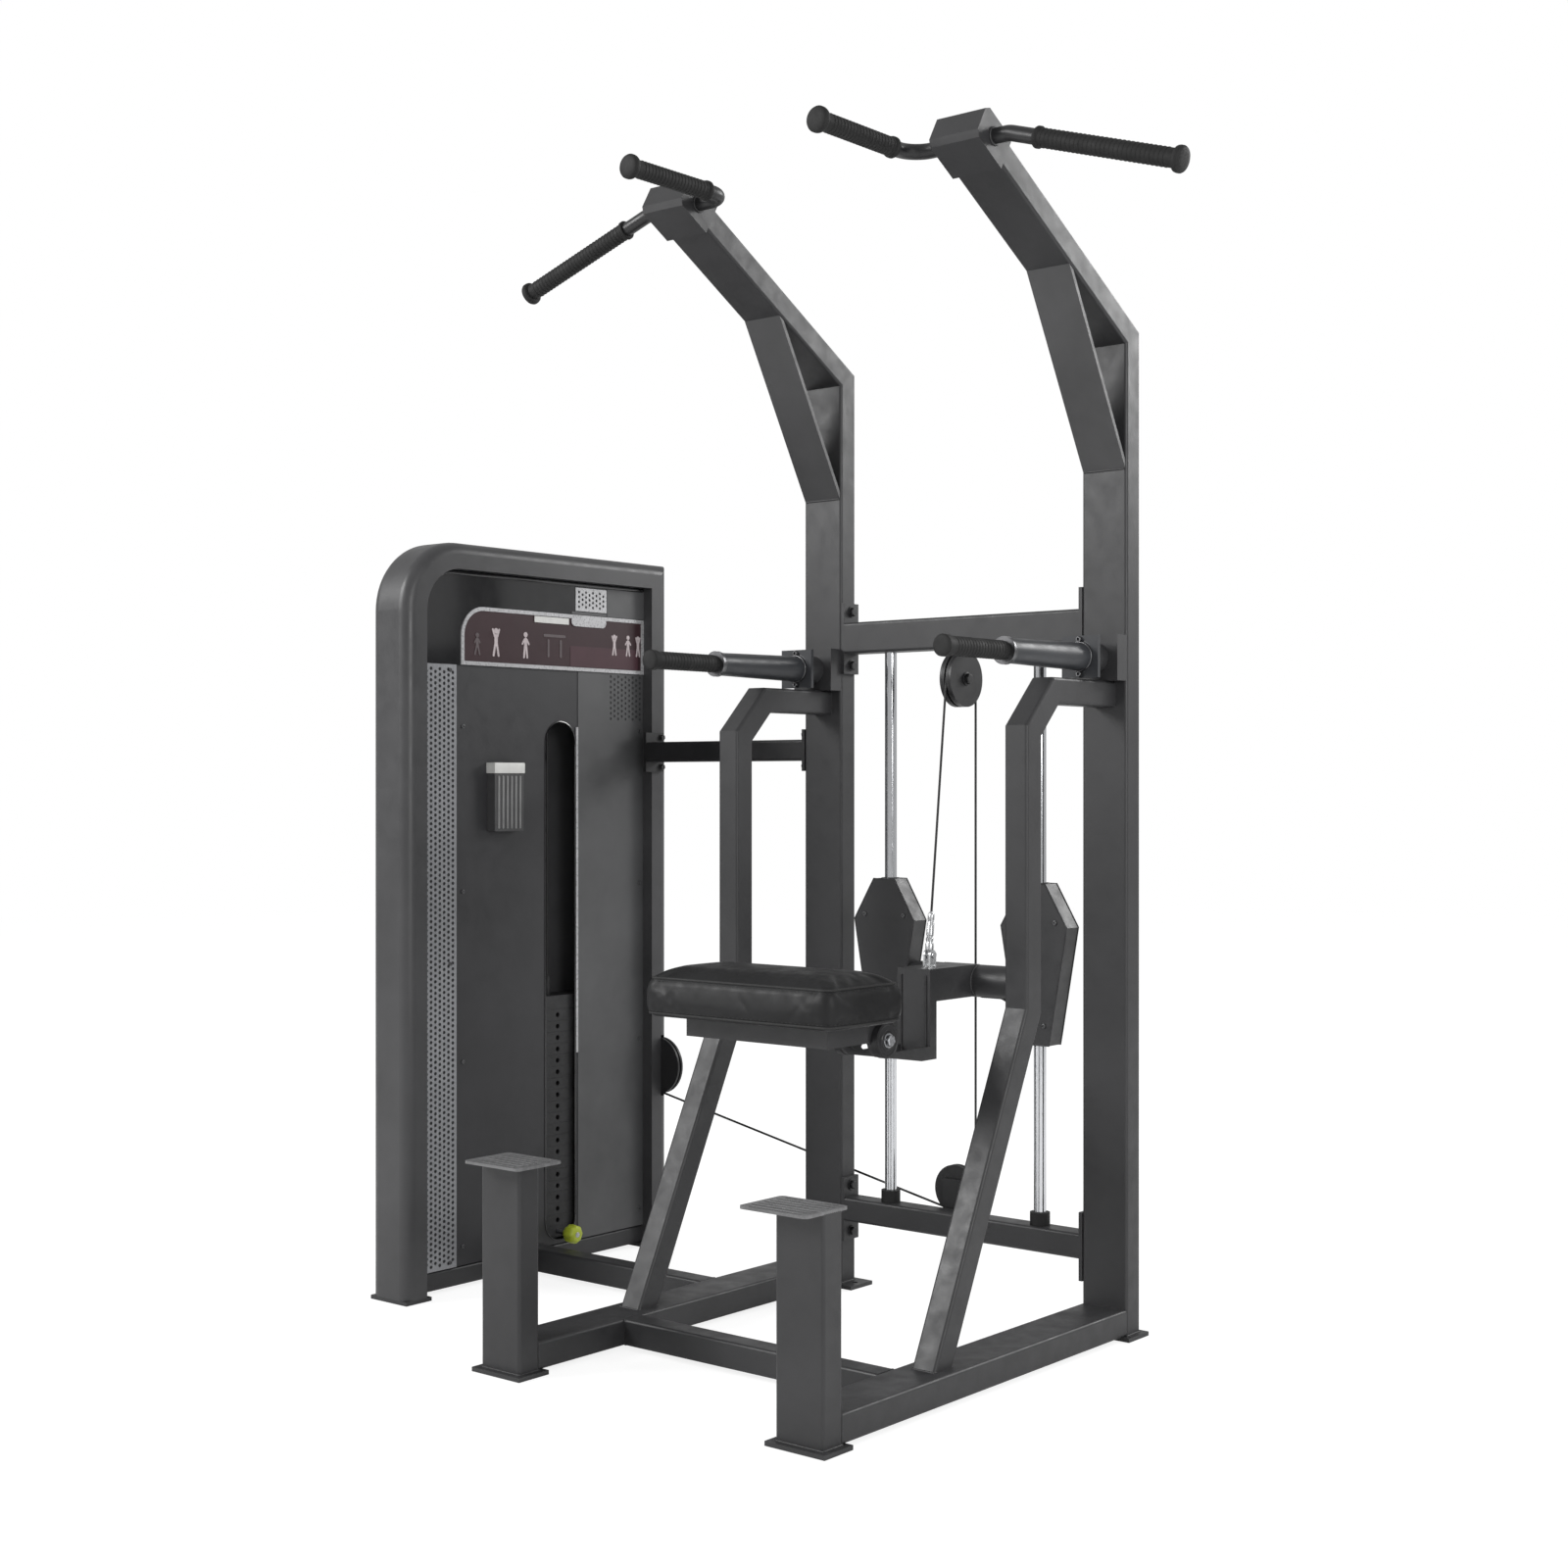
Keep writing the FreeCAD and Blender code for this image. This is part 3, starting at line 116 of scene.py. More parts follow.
def bump(tree, shader, source, strength, distance, under=None):
    made = node(tree, "ShaderNodeBump")
    made.inputs["Strength"].default_value = strength
    made.inputs["Distance"].default_value = distance
    tree.links.new(source, made.inputs["Height"])
    if under is not None:
        tree.links.new(under, made.inputs["Normal"])
    tree.links.new(made.outputs["Normal"], shader.inputs["Normal"])
    return made.outputs["Normal"]


def scaled(color, factor):
    return tuple(min(1.0, c * factor) for c in color)


def surface(name, color, rough, metal=0.0, spread=0.18, mottle=5.0, grain=700.0, relief=0.12,
            depth=0.0004, stretch=(1, 1, 1), rough_spread=0.07, coat=0.0, specular=0.5):
    """A surface whose colour and gloss drift slowly, with a fine grain in its relief."""
    mat, tree, shader = new_material(name)
    drift = noise(tree, mottle, detail=4.0, stretch=stretch)
    color_out = tint(tree, drift, scaled(color, 1 - spread), scaled(color, 1 + spread))
    tree.links.new(color_out, shader.inputs["Base Color"])
    fine = noise(tree, grain, detail=2.0, stretch=stretch)
    gloss = ramp(tree, noise(tree, mottle * GLOSS_PER_MOTTLE, stretch=stretch),
                 rough - rough_spread, rough + rough_spread)
    tree.links.new(gloss, shader.inputs["Roughness"])
    bump(tree, shader, fine, relief, depth)
    shader.inputs["Metallic"].default_value = metal
    shader.inputs["Specular IOR Level"].default_value = specular
    shader.inputs["Coat Weight"].default_value = coat
    shader.inputs["Coat Roughness"].default_value = COAT_ROUGHNESS
    return mat


def leather(name, color, dark=0.75, light=1.35, least_rough=0.38, most_rough=0.56, specular=0.25):
    """Upholstery vinyl: creased cells over a fine pore noise."""
    mat, tree, shader = new_material(name)
    drift = noise(tree, scale=9.0, detail=4.0)
    tree.links.new(tint(tree, drift, scaled(color, dark), scaled(color, light)), shader.inputs["Base Color"])
    tree.links.new(ramp(tree, noise(tree, scale=40.0), least_rough, most_rough), shader.inputs["Roughness"])
    creases = bump(tree, shader, cells(tree, scale=420.0), strength=0.25, distance=0.0006)
    bump(tree, shader, noise(tree, scale=1800.0, detail=2.0), strength=0.15, distance=0.0003, under=creases)
    shader.inputs["Specular IOR Level"].default_value = specular
    return mat


MATS = {
    "frame": surface("charcoal_powder_coat", (0.028, 0.028, 0.0295), 0.44, relief=0.22, depth=0.0005),
    "brace": surface("grey_powder_coat", (0.046, 0.046, 0.0475), 0.42, relief=0.2, depth=0.0005),
    "black": surface("black_powder_coat", (0.012, 0.012, 0.013), 0.40, relief=0.2, depth=0.0005),
    "tower": surface("tower_powder_coat", (0.046, 0.046, 0.048), 0.38, relief=0.18),
    "sheet": surface("grey_sheet_coat", (0.050, 0.050, 0.052), 0.46, relief=0.15),
    "dark_sheet": surface("dark_sheet_coat", (0.026, 0.026, 0.028), 0.44, relief=0.15),
    "gloss": surface("gloss_black_plastic", (0.008, 0.008, 0.009), 0.16, relief=0.03, coat=0.6,
                     rough_spread=0.03),
    "plastic": surface("moulded_black_plastic", (0.014, 0.014, 0.015), 0.48, grain=1400.0, relief=0.2,
                       depth=0.0003),
    "rubber": surface("grip_rubber", (0.010, 0.010, 0.010), 0.66, grain=1600.0, relief=0.4,
                      depth=0.0005, specular=0.35),
    "chrome": surface("polished_rod", (0.62, 0.63, 0.65), 0.14, metal=1.0, spread=0.05, grain=300.0,
                      relief=0.02, stretch=(8, 8, 1), rough_spread=0.05),
    "zinc": surface("zinc_plated_steel", (0.52, 0.53, 0.55), 0.30, metal=1.0, spread=0.12, mottle=60.0,
                    relief=0.06),
    "tread": surface("worn_step_plate", (0.145, 0.145, 0.148), 0.36, spread=0.2, mottle=24.0,
                     relief=0.3, depth=0.0006, stretch=(1, 4, 1)),
    "aluminium": surface("brushed_strip", (0.34, 0.345, 0.36), 0.34, metal=0.7, spread=0.1, mottle=20.0,
                         stretch=(1, 14, 1), relief=0.1),
    "iron": surface("cast_weight", (0.016, 0.016, 0.017), 0.55, spread=0.3, mottle=30.0, grain=420.0,
                    relief=0.45, depth=0.0008),
    "dip": surface("dip_arm_paint", (0.034, 0.036, 0.040), 0.40, specular=0.4),
    "cable": surface("cable_sheath", (0.012, 0.012, 0.012), 0.45, grain=900.0, relief=0.3),
    "yellow": surface("yellow_green_knob", (0.42, 0.50, 0.035), 0.34, spread=0.1, mottle=60.0, relief=0.08),
    "pale": surface("pale_plastic", (0.62, 0.62, 0.60), 0.40, spread=0.06, mottle=40.0, relief=0.05),
    "maroon": surface("dark_print_panel", (0.030, 0.012, 0.015), 0.42, spread=0.1, mottle=9.0,
                      relief=0.03, specular=0.35),
    "print": surface("pale_print", (0.46, 0.40, 0.41), 0.45, spread=0.1, mottle=50.0, relief=0.03),
    "silver": surface("silver_trim", (0.46, 0.46, 0.47), 0.30, metal=0.4, spread=0.08, mottle=30.0,
                      relief=0.05),
    "weld": surface("coated_weld", (0.028, 0.028, 0.0295), 0.47, spread=0.3, mottle=120.0, relief=0.3,
                    depth=0.0006),
    "vinyl": leather("pad_vinyl", (0.010, 0.010, 0.0105)),
    "dark_zinc": surface("blackened_steel", (0.16, 0.16, 0.165), 0.35, metal=1.0, spread=0.1, mottle=60.0,
                         relief=0.06),
    "bright_zinc": surface("bright_plated_steel", (0.66, 0.67, 0.68), 0.26, metal=0.8, spread=0.1,
                           mottle=60.0, relief=0.06),
    "rear_sheet": surface("grey_rear_sheet", (0.072, 0.073, 0.075), 0.46, relief=0.15),
    "holder": surface("grey_moulded_holder", (0.048, 0.048, 0.0495), 0.5, grain=1400.0, relief=0.2,
                      depth=0.0003),
    "pale_dim": surface("dim_plastic_rib", (0.20, 0.20, 0.20), 0.45, spread=0.1, mottle=40.0, relief=0.1),
    "faint_print": surface("faint_print", (0.085, 0.066, 0.07), 0.4, spread=0.1, mottle=50.0, relief=0.03),
    "maroon_light": surface("maroon_print_band", (0.055, 0.022, 0.029), 0.42, spread=0.06, mottle=20.0,
                            relief=0.02, specular=0.35),
    "stitch": surface("seam_thread", (0.018, 0.018, 0.018), 0.7, grain=2200.0, relief=0.5),
}

NODE_LOOKS = {
    "left_base_rail": "frame", "right_base_rail": "frame", "left_upright": "frame",
    "right_upright": "frame", "pullup_arms": "frame", "arm_braces": "brace",
    "front_supports": "frame", "struts": "frame", "step_columns": "frame", "step_plates": "tread",
    "floor_plates": "frame", "front_cross_tube": "frame", "tower_link_tube": "frame",
    "upper_tie_tube": "black", "top_crossbar": "frame", "lower_crossbar": "frame",
    "arm_heads": "frame", "wide_bars": "black", "neutral_bars": "black", "pullup_grips": "rubber",
    "pullup_end_caps": "rubber", "dip_brackets": "frame", "dip_handles": "dip", "dip_grips": "rubber",
    "dip_rings": "dark_zinc", "guide_rods": "chrome", "rubber_stops": "rubber", "upper_pulley": "plastic",
    "upper_pulley_bracket": "black", "lower_pulley": "plastic", "lower_pulley_bracket": "black",
    "tower_side_pulley": "plastic", "rear_top_pulley": "plastic", "front_top_pulley": "plastic",
    "tower_hangers": "black", "main_cable": "cable", "carriage_cable": "cable",
    "stack_cable": "cable", "carriage_covers": "frame", "bearing_tubes": "zinc",
    "carriage_frame": "frame", "cable_anchor": "zinc", "hinge_pin": "black", "platform_tray": "frame",
    "knee_pad": "vinyl", "tower_arch": "tower", "inner_panel": "dark_sheet", "outer_panel": "sheet",
    "perforated_strip": "aluminium", "top_cover": "gloss", "placard": "maroon",
    "accessory_tray": "plastic", "tower_base": "frame", "stack_guide_rods": "chrome",
    "weight_plates": "iron", "head_plate": "iron", "selector_rod": "zinc", "selector_pin": "zinc",
    "selector_knob": "yellow", "frame_bolts": "zinc",
}


def dress_nodes():
    for name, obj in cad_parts.items():
        obj.data.materials.clear()
        obj.data.materials.append(MATS[NODE_LOOKS[name]])


# Mesh helpers

MERGE_DISTANCE = 0.01 * MM
LEAST_RADIUS = 0.05 * MM
BEVEL_SEGMENTS = 2
ROUND_DEG = 60.0
MIXED_DEG = 40.0
FLAT_DEG = 30.0


def finish_piece(bm, name, look, body, smooth_deg, bevel=0.0, stands_for=()):
    """Turns bm into a piece that rides on body, with edges sharper than smooth_deg kept sharp."""
    bmesh.ops.remove_doubles(bm, verts=bm.verts, dist=MERGE_DISTANCE)
    bmesh.ops.recalc_face_normals(bm, faces=bm.faces)
    mesh = bpy.data.meshes.new(name)
    bm.to_mesh(mesh)
    bm.free()
    obj = bpy.data.objects.new(name, mesh)
    bpy.context.scene.collection.objects.link(obj)
    mesh.materials.append(MATS[look])
    if bevel:
        mod = obj.modifiers.new("edge", "BEVEL")
        mod.width = bevel
        mod.segments = BEVEL_SEGMENTS
        mod.limit_method = "ANGLE"
        mod.angle_limit = math.radians(smooth_deg)
    mesh.shade_smooth()
    mesh.set_sharp_from_angle(angle=math.radians(smooth_deg))
    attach(obj, body)
    if stands_for:
        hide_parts(*stands_for)
    return obj


def basis(way):
    way = way.normalized()
    side = way.orthogonal().normalized()
    return side, way.cross(side).normalized(), way


def ring(bm, centre, side, other, radius, count):
    return [bm.verts.new(centre + side * (radius * math.cos(TURN * k / count))
                         + other * (radius * math.sin(TURN * k / count))) for k in range(count)]


def bridge(bm, first, second):
    count = len(first)
    for k in range(count):
        bm.faces.new((first[k], first[(k + 1) % count], second[(k + 1) % count], second[k]))


def join_rows(bm, rows, closed=False):
    """Bridges each row of vertices to the next; an open chain gets a face at each end."""
    for low, high in zip(rows, rows[1:]):
        bridge(bm, low, high)
    if closed:
        bridge(bm, rows[-1], rows[0])
    else:
        bm.faces.new(rows[0])
        bm.faces.new(list(reversed(rows[-1])))


def lathe(bm, start, way, profile, count=40):
    """A turned solid: profile holds (distance along way, radius) pairs; a closed profile makes a ring."""
    side, other, along = basis(way)
    rows = [ring(bm, start + along * a, side, other, max(r, LEAST_RADIUS), count) for a, r in profile]
    if profile[0] == profile[-1]:
        for low, high in zip(rows, rows[1:]):
            bridge(bm, low, high)
    else:
        join_rows(bm, rows)


def in_mm(profile):
    return [(a * MM, r * MM) for a, r in profile]


def box(bm, low, high):
    corners = [bm.verts.new((x, y, z)) for x in (low[0], high[0]) for y in (low[1], high[1])
               for z in (low[2], high[2])]
    for loop in ((0, 1, 3, 2), (4, 6, 7, 5), (0, 4, 5, 1), (2, 3, 7, 6), (0, 2, 6, 4), (1, 5, 7, 3)):
        bm.faces.new([corners[k] for k in loop])


def slab(bm, outline, lift):
    """A flat plate: outline is a list of points in one plane, lift the vector to its other face."""
    low = [bm.verts.new(p) for p in outline]
    high = [bm.verts.new(p + lift) for p in outline]
    join_rows(bm, [low, high])


def along_path(bm, path, radius_at, count=10, closed=False):
    """A round tube through the path's points whose radius radius_at(index) gives."""
    rows = []
    total = len(path)
    for k, point in enumerate(path):
        before = path[(k - 1) % total] if closed else path[max(k - 1, 0)]
        after = path[(k + 1) % total] if closed else path[min(k + 1, total - 1)]
        way = (after - before).normalized()
        if not rows:
            side = way.orthogonal().normalized()
        else:
            side = (side - way * side.dot(way)).normalized()
        rows.append(ring(bm, point, side, way.cross(side), radius_at(k), count))
    if not closed:
        join_rows(bm, rows)
        return
    for low, high in zip(rows, rows[1:]):
        bridge(bm, low, high)
    last = rows[-1]
    first = rows[0]
    shift = min(range(count), key=lambda s: (last[0].co - first[s].co).length)
    bridge(bm, last, first[shift:] + first[:shift])


def tube(bm, path, radius, count, closed=False):
    along_path(bm, path, lambda k: radius, count, closed)


def spaced(corners, step, closed=True):
    """Points at even steps along a chain of straight runs."""
    ends = corners + [corners[0]] if closed else corners
    points = []
    for a, b in zip(ends, ends[1:]):
        count = max(1, round((b - a).length / step))
        points += [a.lerp(b, k / count) for k in range(count)]
    if not closed:
        points.append(ends[-1])
    return points


def rect_y(x0, x1, y, z0, z1):
    return [mm(x0, y, z0), mm(x1, y, z0), mm(x1, y, z1), mm(x0, y, z1)]


def rect_x(x, y0, y1, z0, z1):
    return [mm(x, y0, z0), mm(x, y1, z0), mm(x, y1, z1), mm(x, y0, z1)]


def rect_z(x0, x1, y0, y1, z):
    return [mm(x0, y0, z), mm(x1, y0, z), mm(x1, y1, z), mm(x0, y1, z)]


def circle(centre, way, radius, count=48):
    side, other, _ = basis(way)
    return [centre + side * (radius * math.cos(TURN * k / count))
            + other * (radius * math.sin(TURN * k / count)) for k in range(count)]


# Welds

BEAD = 2.6 * MM
BEAD_DIP_SHARE = 0.8
BEAD_STEP = 2.4 * MM
BEAD_POINTS = 6
BAR_Y = -480.0
BAR_Z = 2205.1
HEAD_FACES_X = (401.0, 295.0)
BAR_WELD_RADIUS = 15 * MM

# Each chain runs round one joint of the right side frame, in millimetres.
RIGHT_WELDS = {
    "rail end on step column": rect_y(300, 396, -909, 10, 56)[1:] + [mm(300, -909, 10)],
    "cross tube on rail": rect_x(298, -686, -640, 10, 56),
    "front support on upright": rect_y(325, 371, -25, 1218, 1264),
    "strut on rail": rect_z(325, 371, -622, -567, 58),
    "brace's lower edge on upright": rect_y(303, 393, -25, 1673.5, 1673.5)[:2],
    "upright on floor plate": rect_z(299, 397, -24, 24, 8),
    "step column on floor plate": rect_z(299, 397, -958, -910, 8),
    "step plate on column": rect_z(300, 396, -957, -911, 384),
}
TOWER_LINK_WELD = rect_x(-398, -363, -317, 10, 56)


def bead(bm, corners, closed=True):
    """A ripple-topped weld bead along a chain of straight runs."""
    path = spaced(corners, BEAD_STEP, closed)
    along_path(bm, path, lambda k: BEAD * (1.0 if k % 2 else BEAD_DIP_SHARE), BEAD_POINTS, closed)


def frame_welds():
    bm = bmesh.new()
    for chain in RIGHT_WELDS.values():
        for points in (chain, [Vector((-p.x, p.y, p.z)) for p in chain]):
            bead(bm, points, len(chain) > 2)
    bead(bm, TOWER_LINK_WELD)
    for side in SIDES:
        for face in HEAD_FACES_X:
            bead(bm, circle(mm(side * face, BAR_Y, BAR_Z), X, BAR_WELD_RADIUS, count=60))
    finish_piece(bm, "weld_beads", "weld", "frame", ROUND_DEG)


# Bolts. The profiles hold (share of the head's thickness, share of its radius) pairs.

WASHER_SHARES = ((0.0, 1.25), (0.22, 1.25), (0.28, 1.2))
WASHER_TOP_SHARE = 0.25
HEX_SHARES = ((0, 1), (0.8, 1), (1, 0.86))
SCREW_SHARES = ((0, 1), (0.82, 1), (1, 0.88), (1, 0.5))
RECESS_DEPTH_SHARE = 0.35
RECESS_RADIUS_SHARE = 0.5

CROSSBARS = ((1344, 66), (141, 50))
CROSSBAR_BOLT_X = 290
CROSSBAR_BOLT_OUT = 24
DIP_X = 348
DIP_Z = 1310
DIP_FLANGE_Y = -114
DIP_SCREW_HEIGHTS = (1277, 1343)
TIE_BOLT_HEIGHTS = (1107, 1175)
TIE_BOLTS = ((-406, -12, -X), (-867, 28, X))


def hex_bolt(bm, point, way, flat, thick):
    """A hexagon head on a washer, with a chamfered top."""
    side, other, along = basis(way)
    lathe(bm, point, way, [(thick * a, flat * r) for a, r in WASHER_SHARES], count=32)
    seat = point + along * (thick * WASHER_TOP_SHARE)
    join_rows(bm, [ring(bm, seat + along * (thick * a), side, other, flat * r, 6) for a, r in HEX_SHARES])


def cap_screw(bm, point, way, radius, thick, count=36):
    """A round socket-head screw with its recess."""
    side, other, along = basis(way)
    rows = [ring(bm, point + along * (thick * a), side, other, radius * r, count) for a, r in SCREW_SHARES]
    floor = point + along * (thick * RECESS_DEPTH_SHARE)
    rows.append(ring(bm, floor, side, other, radius * RECESS_RADIUS_SHARE, count))
    join_rows(bm, rows)


def bolts():
    dark = bmesh.new()
    bright = bmesh.new()
    for low, tall in CROSSBARS:
        for z in (low - CROSSBAR_BOLT_OUT, low + tall + CROSSBAR_BOLT_OUT):
            for side in SIDES:
                hex_bolt(dark, mm(side * CROSSBAR_BOLT_X, 0, z), X * -side, flat=9.5 * MM, thick=7.5 * MM)
    for side in SIDES:
        for z in DIP_SCREW_HEIGHTS:
            cap_screw(bright, mm(side * DIP_X, DIP_FLANGE_Y, z), -Y, radius=5.5 * MM, thick=6.5 * MM)
    for z in TIE_BOLT_HEIGHTS:
        for x, y, way in TIE_BOLTS:
            hex_bolt(dark, mm(x, y, z), way, flat=7 * MM, thick=6 * MM)
    finish_piece(dark, "crossbar_bolts", "black", "frame", FLAT_DEG, bevel=0.4 * MM,
                 stands_for=("frame_bolts",))
    finish_piece(bright, "dip_flange_screws", "dark_zinc", "frame", FLAT_DEG, bevel=0.3 * MM,
                 stands_for=("frame_bolts",))


# Nuts and axle ends of the pulleys; each nut has its place and the way it points

HEX_NUTS = ((mm(-13.6, -8, 1282), -X), (mm(13.6, -8, 1282), X), (mm(-46, 57.6, 228), Y))
TOP_AXLE_ENDS = [mm(x, y, 1458) for x in (-960, -933) for y in (-6, -210)]
AXLE_END_PROFILE = in_mm(((0, 10), (0.4, 11), (1.0, 10)))


def axle_nuts():
    bm = bmesh.new()
    for place, way in HEX_NUTS:
        hex_bolt(bm, place, way, flat=11 * MM, thick=8 * MM)
    for place in TOP_AXLE_ENDS:
        lathe(bm, place, X, AXLE_END_PROFILE, count=24)
    finish_piece(bm, "axle_nuts", "black", "frame", FLAT_DEG, bevel=0.4 * MM)


# Platform cushion

PAD_HALF = 226.0
PAD_FRONT = -725.0
PAD_BACK = -493.0
PAD_SIDE_POINTS = 16
PAD_CORNER_POINTS = 8
# Inset from the widest outline, corner radius and height of each row, from the underside up
PAD_ROWS = ((16, 18, 638), (8, 22, 642), (3, 24, 656), (2, 24, 684), (5, 24, 701), (13, 22, 712),
            (28, 24, 720), (52, 26, 726), (80, 20, 729), (98, 12, 730))
SEAM_INSET = 10
SEAM_CORNER = 22
PIPING = ((709.5, 2.4), (645.5, 2.2))
PIPING_OUT = 0.6 * MM
STITCH_HEIGHTS = (704.5, 650.0)
STITCH_OUT = 0.2 * MM
STITCH_STEP = 5.0 * MM
STITCH_RADIUS = 0.55 * MM
SEARCH_REACH = 0.12
VOXEL = 0.006
HELD_BELOW = 0.641
MOST_STUFFING = 0.005
STUFFING_PRESSURE = 4.0
STUFFING_FRAMES = 20


def round_rect(inset, radius, z):
    """The pad's outline drawn in by inset, with as many points whatever its size."""
    x = PAD_HALF - inset
    y0 = PAD_FRONT + inset
    y1 = PAD_BACK - inset
    arcs = []
    for cx, cy, quarter in ((x - radius, y1 - radius, 0), (-x + radius, y1 - radius, 1),
                            (-x + radius, y0 + radius, 2), (x - radius, y0 + radius, 3)):
        turns = [(quarter + k / PAD_CORNER_POINTS) * math.pi / 2 for k in range(PAD_CORNER_POINTS + 1)]
        arcs.append([mm(cx + radius * math.cos(t), cy + radius * math.sin(t), z) for t in turns])
    points = []
    for first, after in zip(arcs, arcs[1:] + arcs[:1]):
        points += first
        points += [first[-1].lerp(after[0], k / PAD_SIDE_POINTS) for k in range(1, PAD_SIDE_POINTS)]
    return points


def remeshed(obj):
    """Replaces the mesh by an even one of square faces."""
    mod = obj.modifiers.new("even", "REMESH")
    mod.mode = "VOXEL"
    mod.voxel_size = VOXEL
    graph = bpy.context.evaluated_depsgraph_get()
    mesh = bpy.data.meshes.new_from_object(obj.evaluated_get(graph))
    obj.modifiers.clear()
    obj.data = mesh


def stuff(obj):
    """Blows the shell up as stuffing does, holds its underside, and limits how far it moves."""
    rest = [v.co.copy() for v in obj.data.vertices]
    held = obj.vertex_groups.new(name="held")
    held.add([v.index for v in obj.data.vertices if v.co.z < HELD_BELOW], 1.0, "REPLACE")
    cloth = obj.modifiers.new("stuffing", "CLOTH")
    cloth.settings.use_pressure = True
    cloth.settings.uniform_pressure_force = STUFFING_PRESSURE
    cloth.settings.vertex_group_mass = "held"
    cloth.settings.effector_weights.gravity = 0.0
    for step in range(1, STUFFING_FRAMES + 1):
        bpy.context.scene.frame_set(step)
    graph = bpy.context.evaluated_depsgraph_get()
    moved = [v.co.copy() for v in obj.evaluated_get(graph).data.vertices]
    obj.modifiers.clear()
    bpy.context.scene.frame_set(1)
    for vert, start, end in zip(obj.data.vertices, rest, moved):
        shift = end - start
        if shift.length > 0:
            eased = MOST_STUFFING * math.tanh(shift.length / MOST_STUFFING)
            vert.co = start + shift * (eased / shift.length)


def seam_path(tree, z, out):
    """The seam's outline at height z, moved level onto the cushion's side, then out a little."""
    middle = mm(0, (PAD_FRONT + PAD_BACK) / 2, 0)
    points = []
    for point in round_rect(SEAM_INSET, SEAM_CORNER, z):
        away = Vector((point.x - middle.x, point.y - middle.y, 0)).normalized()
        hit = tree.ray_cast(point + away * SEARCH_REACH, -away)[0]
        points.append((hit if hit is not None else point) + away * out)
    return points


def cushion():
    bm = bmesh.new()
    join_rows(bm, [[bm.verts.new(p) for p in round_rect(*row)] for row in PAD_ROWS])
    pad = finish_piece(bm, "pad_cushion", "vinyl", "platform", ROUND_DEG, stands_for=("knee_pad",))
    remeshed(pad)
    stuff(pad)
    pad.data.materials.clear()
    pad.data.materials.append(MATS["vinyl"])
    pad.data.shade_smooth()
    soften = pad.modifiers.new("soften", "SUBSURF")
    soften.levels = 1
    soften.render_levels = 1
    return pad


def cushion_seams(pad):
    tree = BVHTree.FromObject(pad, bpy.context.evaluated_depsgraph_get())
    bm = bmesh.new()
    for z, radius in PIPING:
        tube(bm, seam_path(tree, z, PIPING_OUT), radius * MM, count=8, closed=True)
    finish_piece(bm, "pad_piping", "stitch", "platform", ROUND_DEG)
    bm = bmesh.new()
    for z in STITCH_HEIGHTS:
        path = spaced(seam_path(tree, z, STITCH_OUT), STITCH_STEP)
        for a, b in zip(path[::2], path[1::2]):
            tube(bm, [a, a.lerp(b, 0.5), b], STITCH_RADIUS, count=5)
    finish_piece(bm, "pad_stitches", "stitch", "platform", ROUND_DEG)


# Weight tower. Pairs are (y, z) in millimetres on a plane of constant x.

PANEL_X = -905.0
PLACARD_X = -902.0
STRIP_X = -904.7
REAR_Y = 5
HEADER_FRONT = -228
HEADER_SHEET_FRONT = -116
HEADER_LOW = 1447
HEADER_TOP = 1518
GRILLE_REAR = -118
COVER_X = -901.0
SLOT_Y = -260.0
SLOT_LOW = 56
SLOT_TOP = 1207
SLOT_END = 47
# Painted highlight: a pale metal strip along the slot's rear edge stands in for the light caught by the
# panel's bent edge (y from, y to, z from, z to)
SLOT_HIGHLIGHT_STRIP = (-213, -206.5, 468, 1195)
SLOT_BEAD_RADIUS = 46.4
SHEET_LOW = 50
SHEET_HIGH = 1319
VENT_LOW = 1210
VENT_FRONT = -112
REAR_SHEET_FRONT = -206
PANEL_SCREWS = (
    (-903, X, 4.2, 2.4, [(y, z) for y in (-655, -585) for z in (62, 690, 1308)]),
    (-903.8, X, 4.2, 2.4, [(-8, z) for z in (90, 480, 840, 1190)]),
    (-905, X, 4.2, 2.4, [(-548, z) for z in (90, 480, 840, 1190)]),
    (-984, -X, 4.5, 2.6, [(y, z) for y in (-655, -333, -12) for z in (80, 560, 1040, 1420)]),
)


def flat_points(x, pairs):
    return [mm(x, y, z) for y, z in pairs]


def plate_x(bm, x, thick, pairs):
    slab(bm, flat_points(x, pairs), X * thick * MM)


def rect_pairs(y0, y1, z0, z1):
    return [(y0, z0), (y1, z0), (y1, z1), (y0, z1)]


def arc_pairs(cy, cz, radius, start, end, count=10):
    turns = [math.radians(start + (end - start) * k / count) for k in range(count + 1)]
    return [(cy + radius * math.cos(t), cz + radius * math.sin(t)) for t in turns]


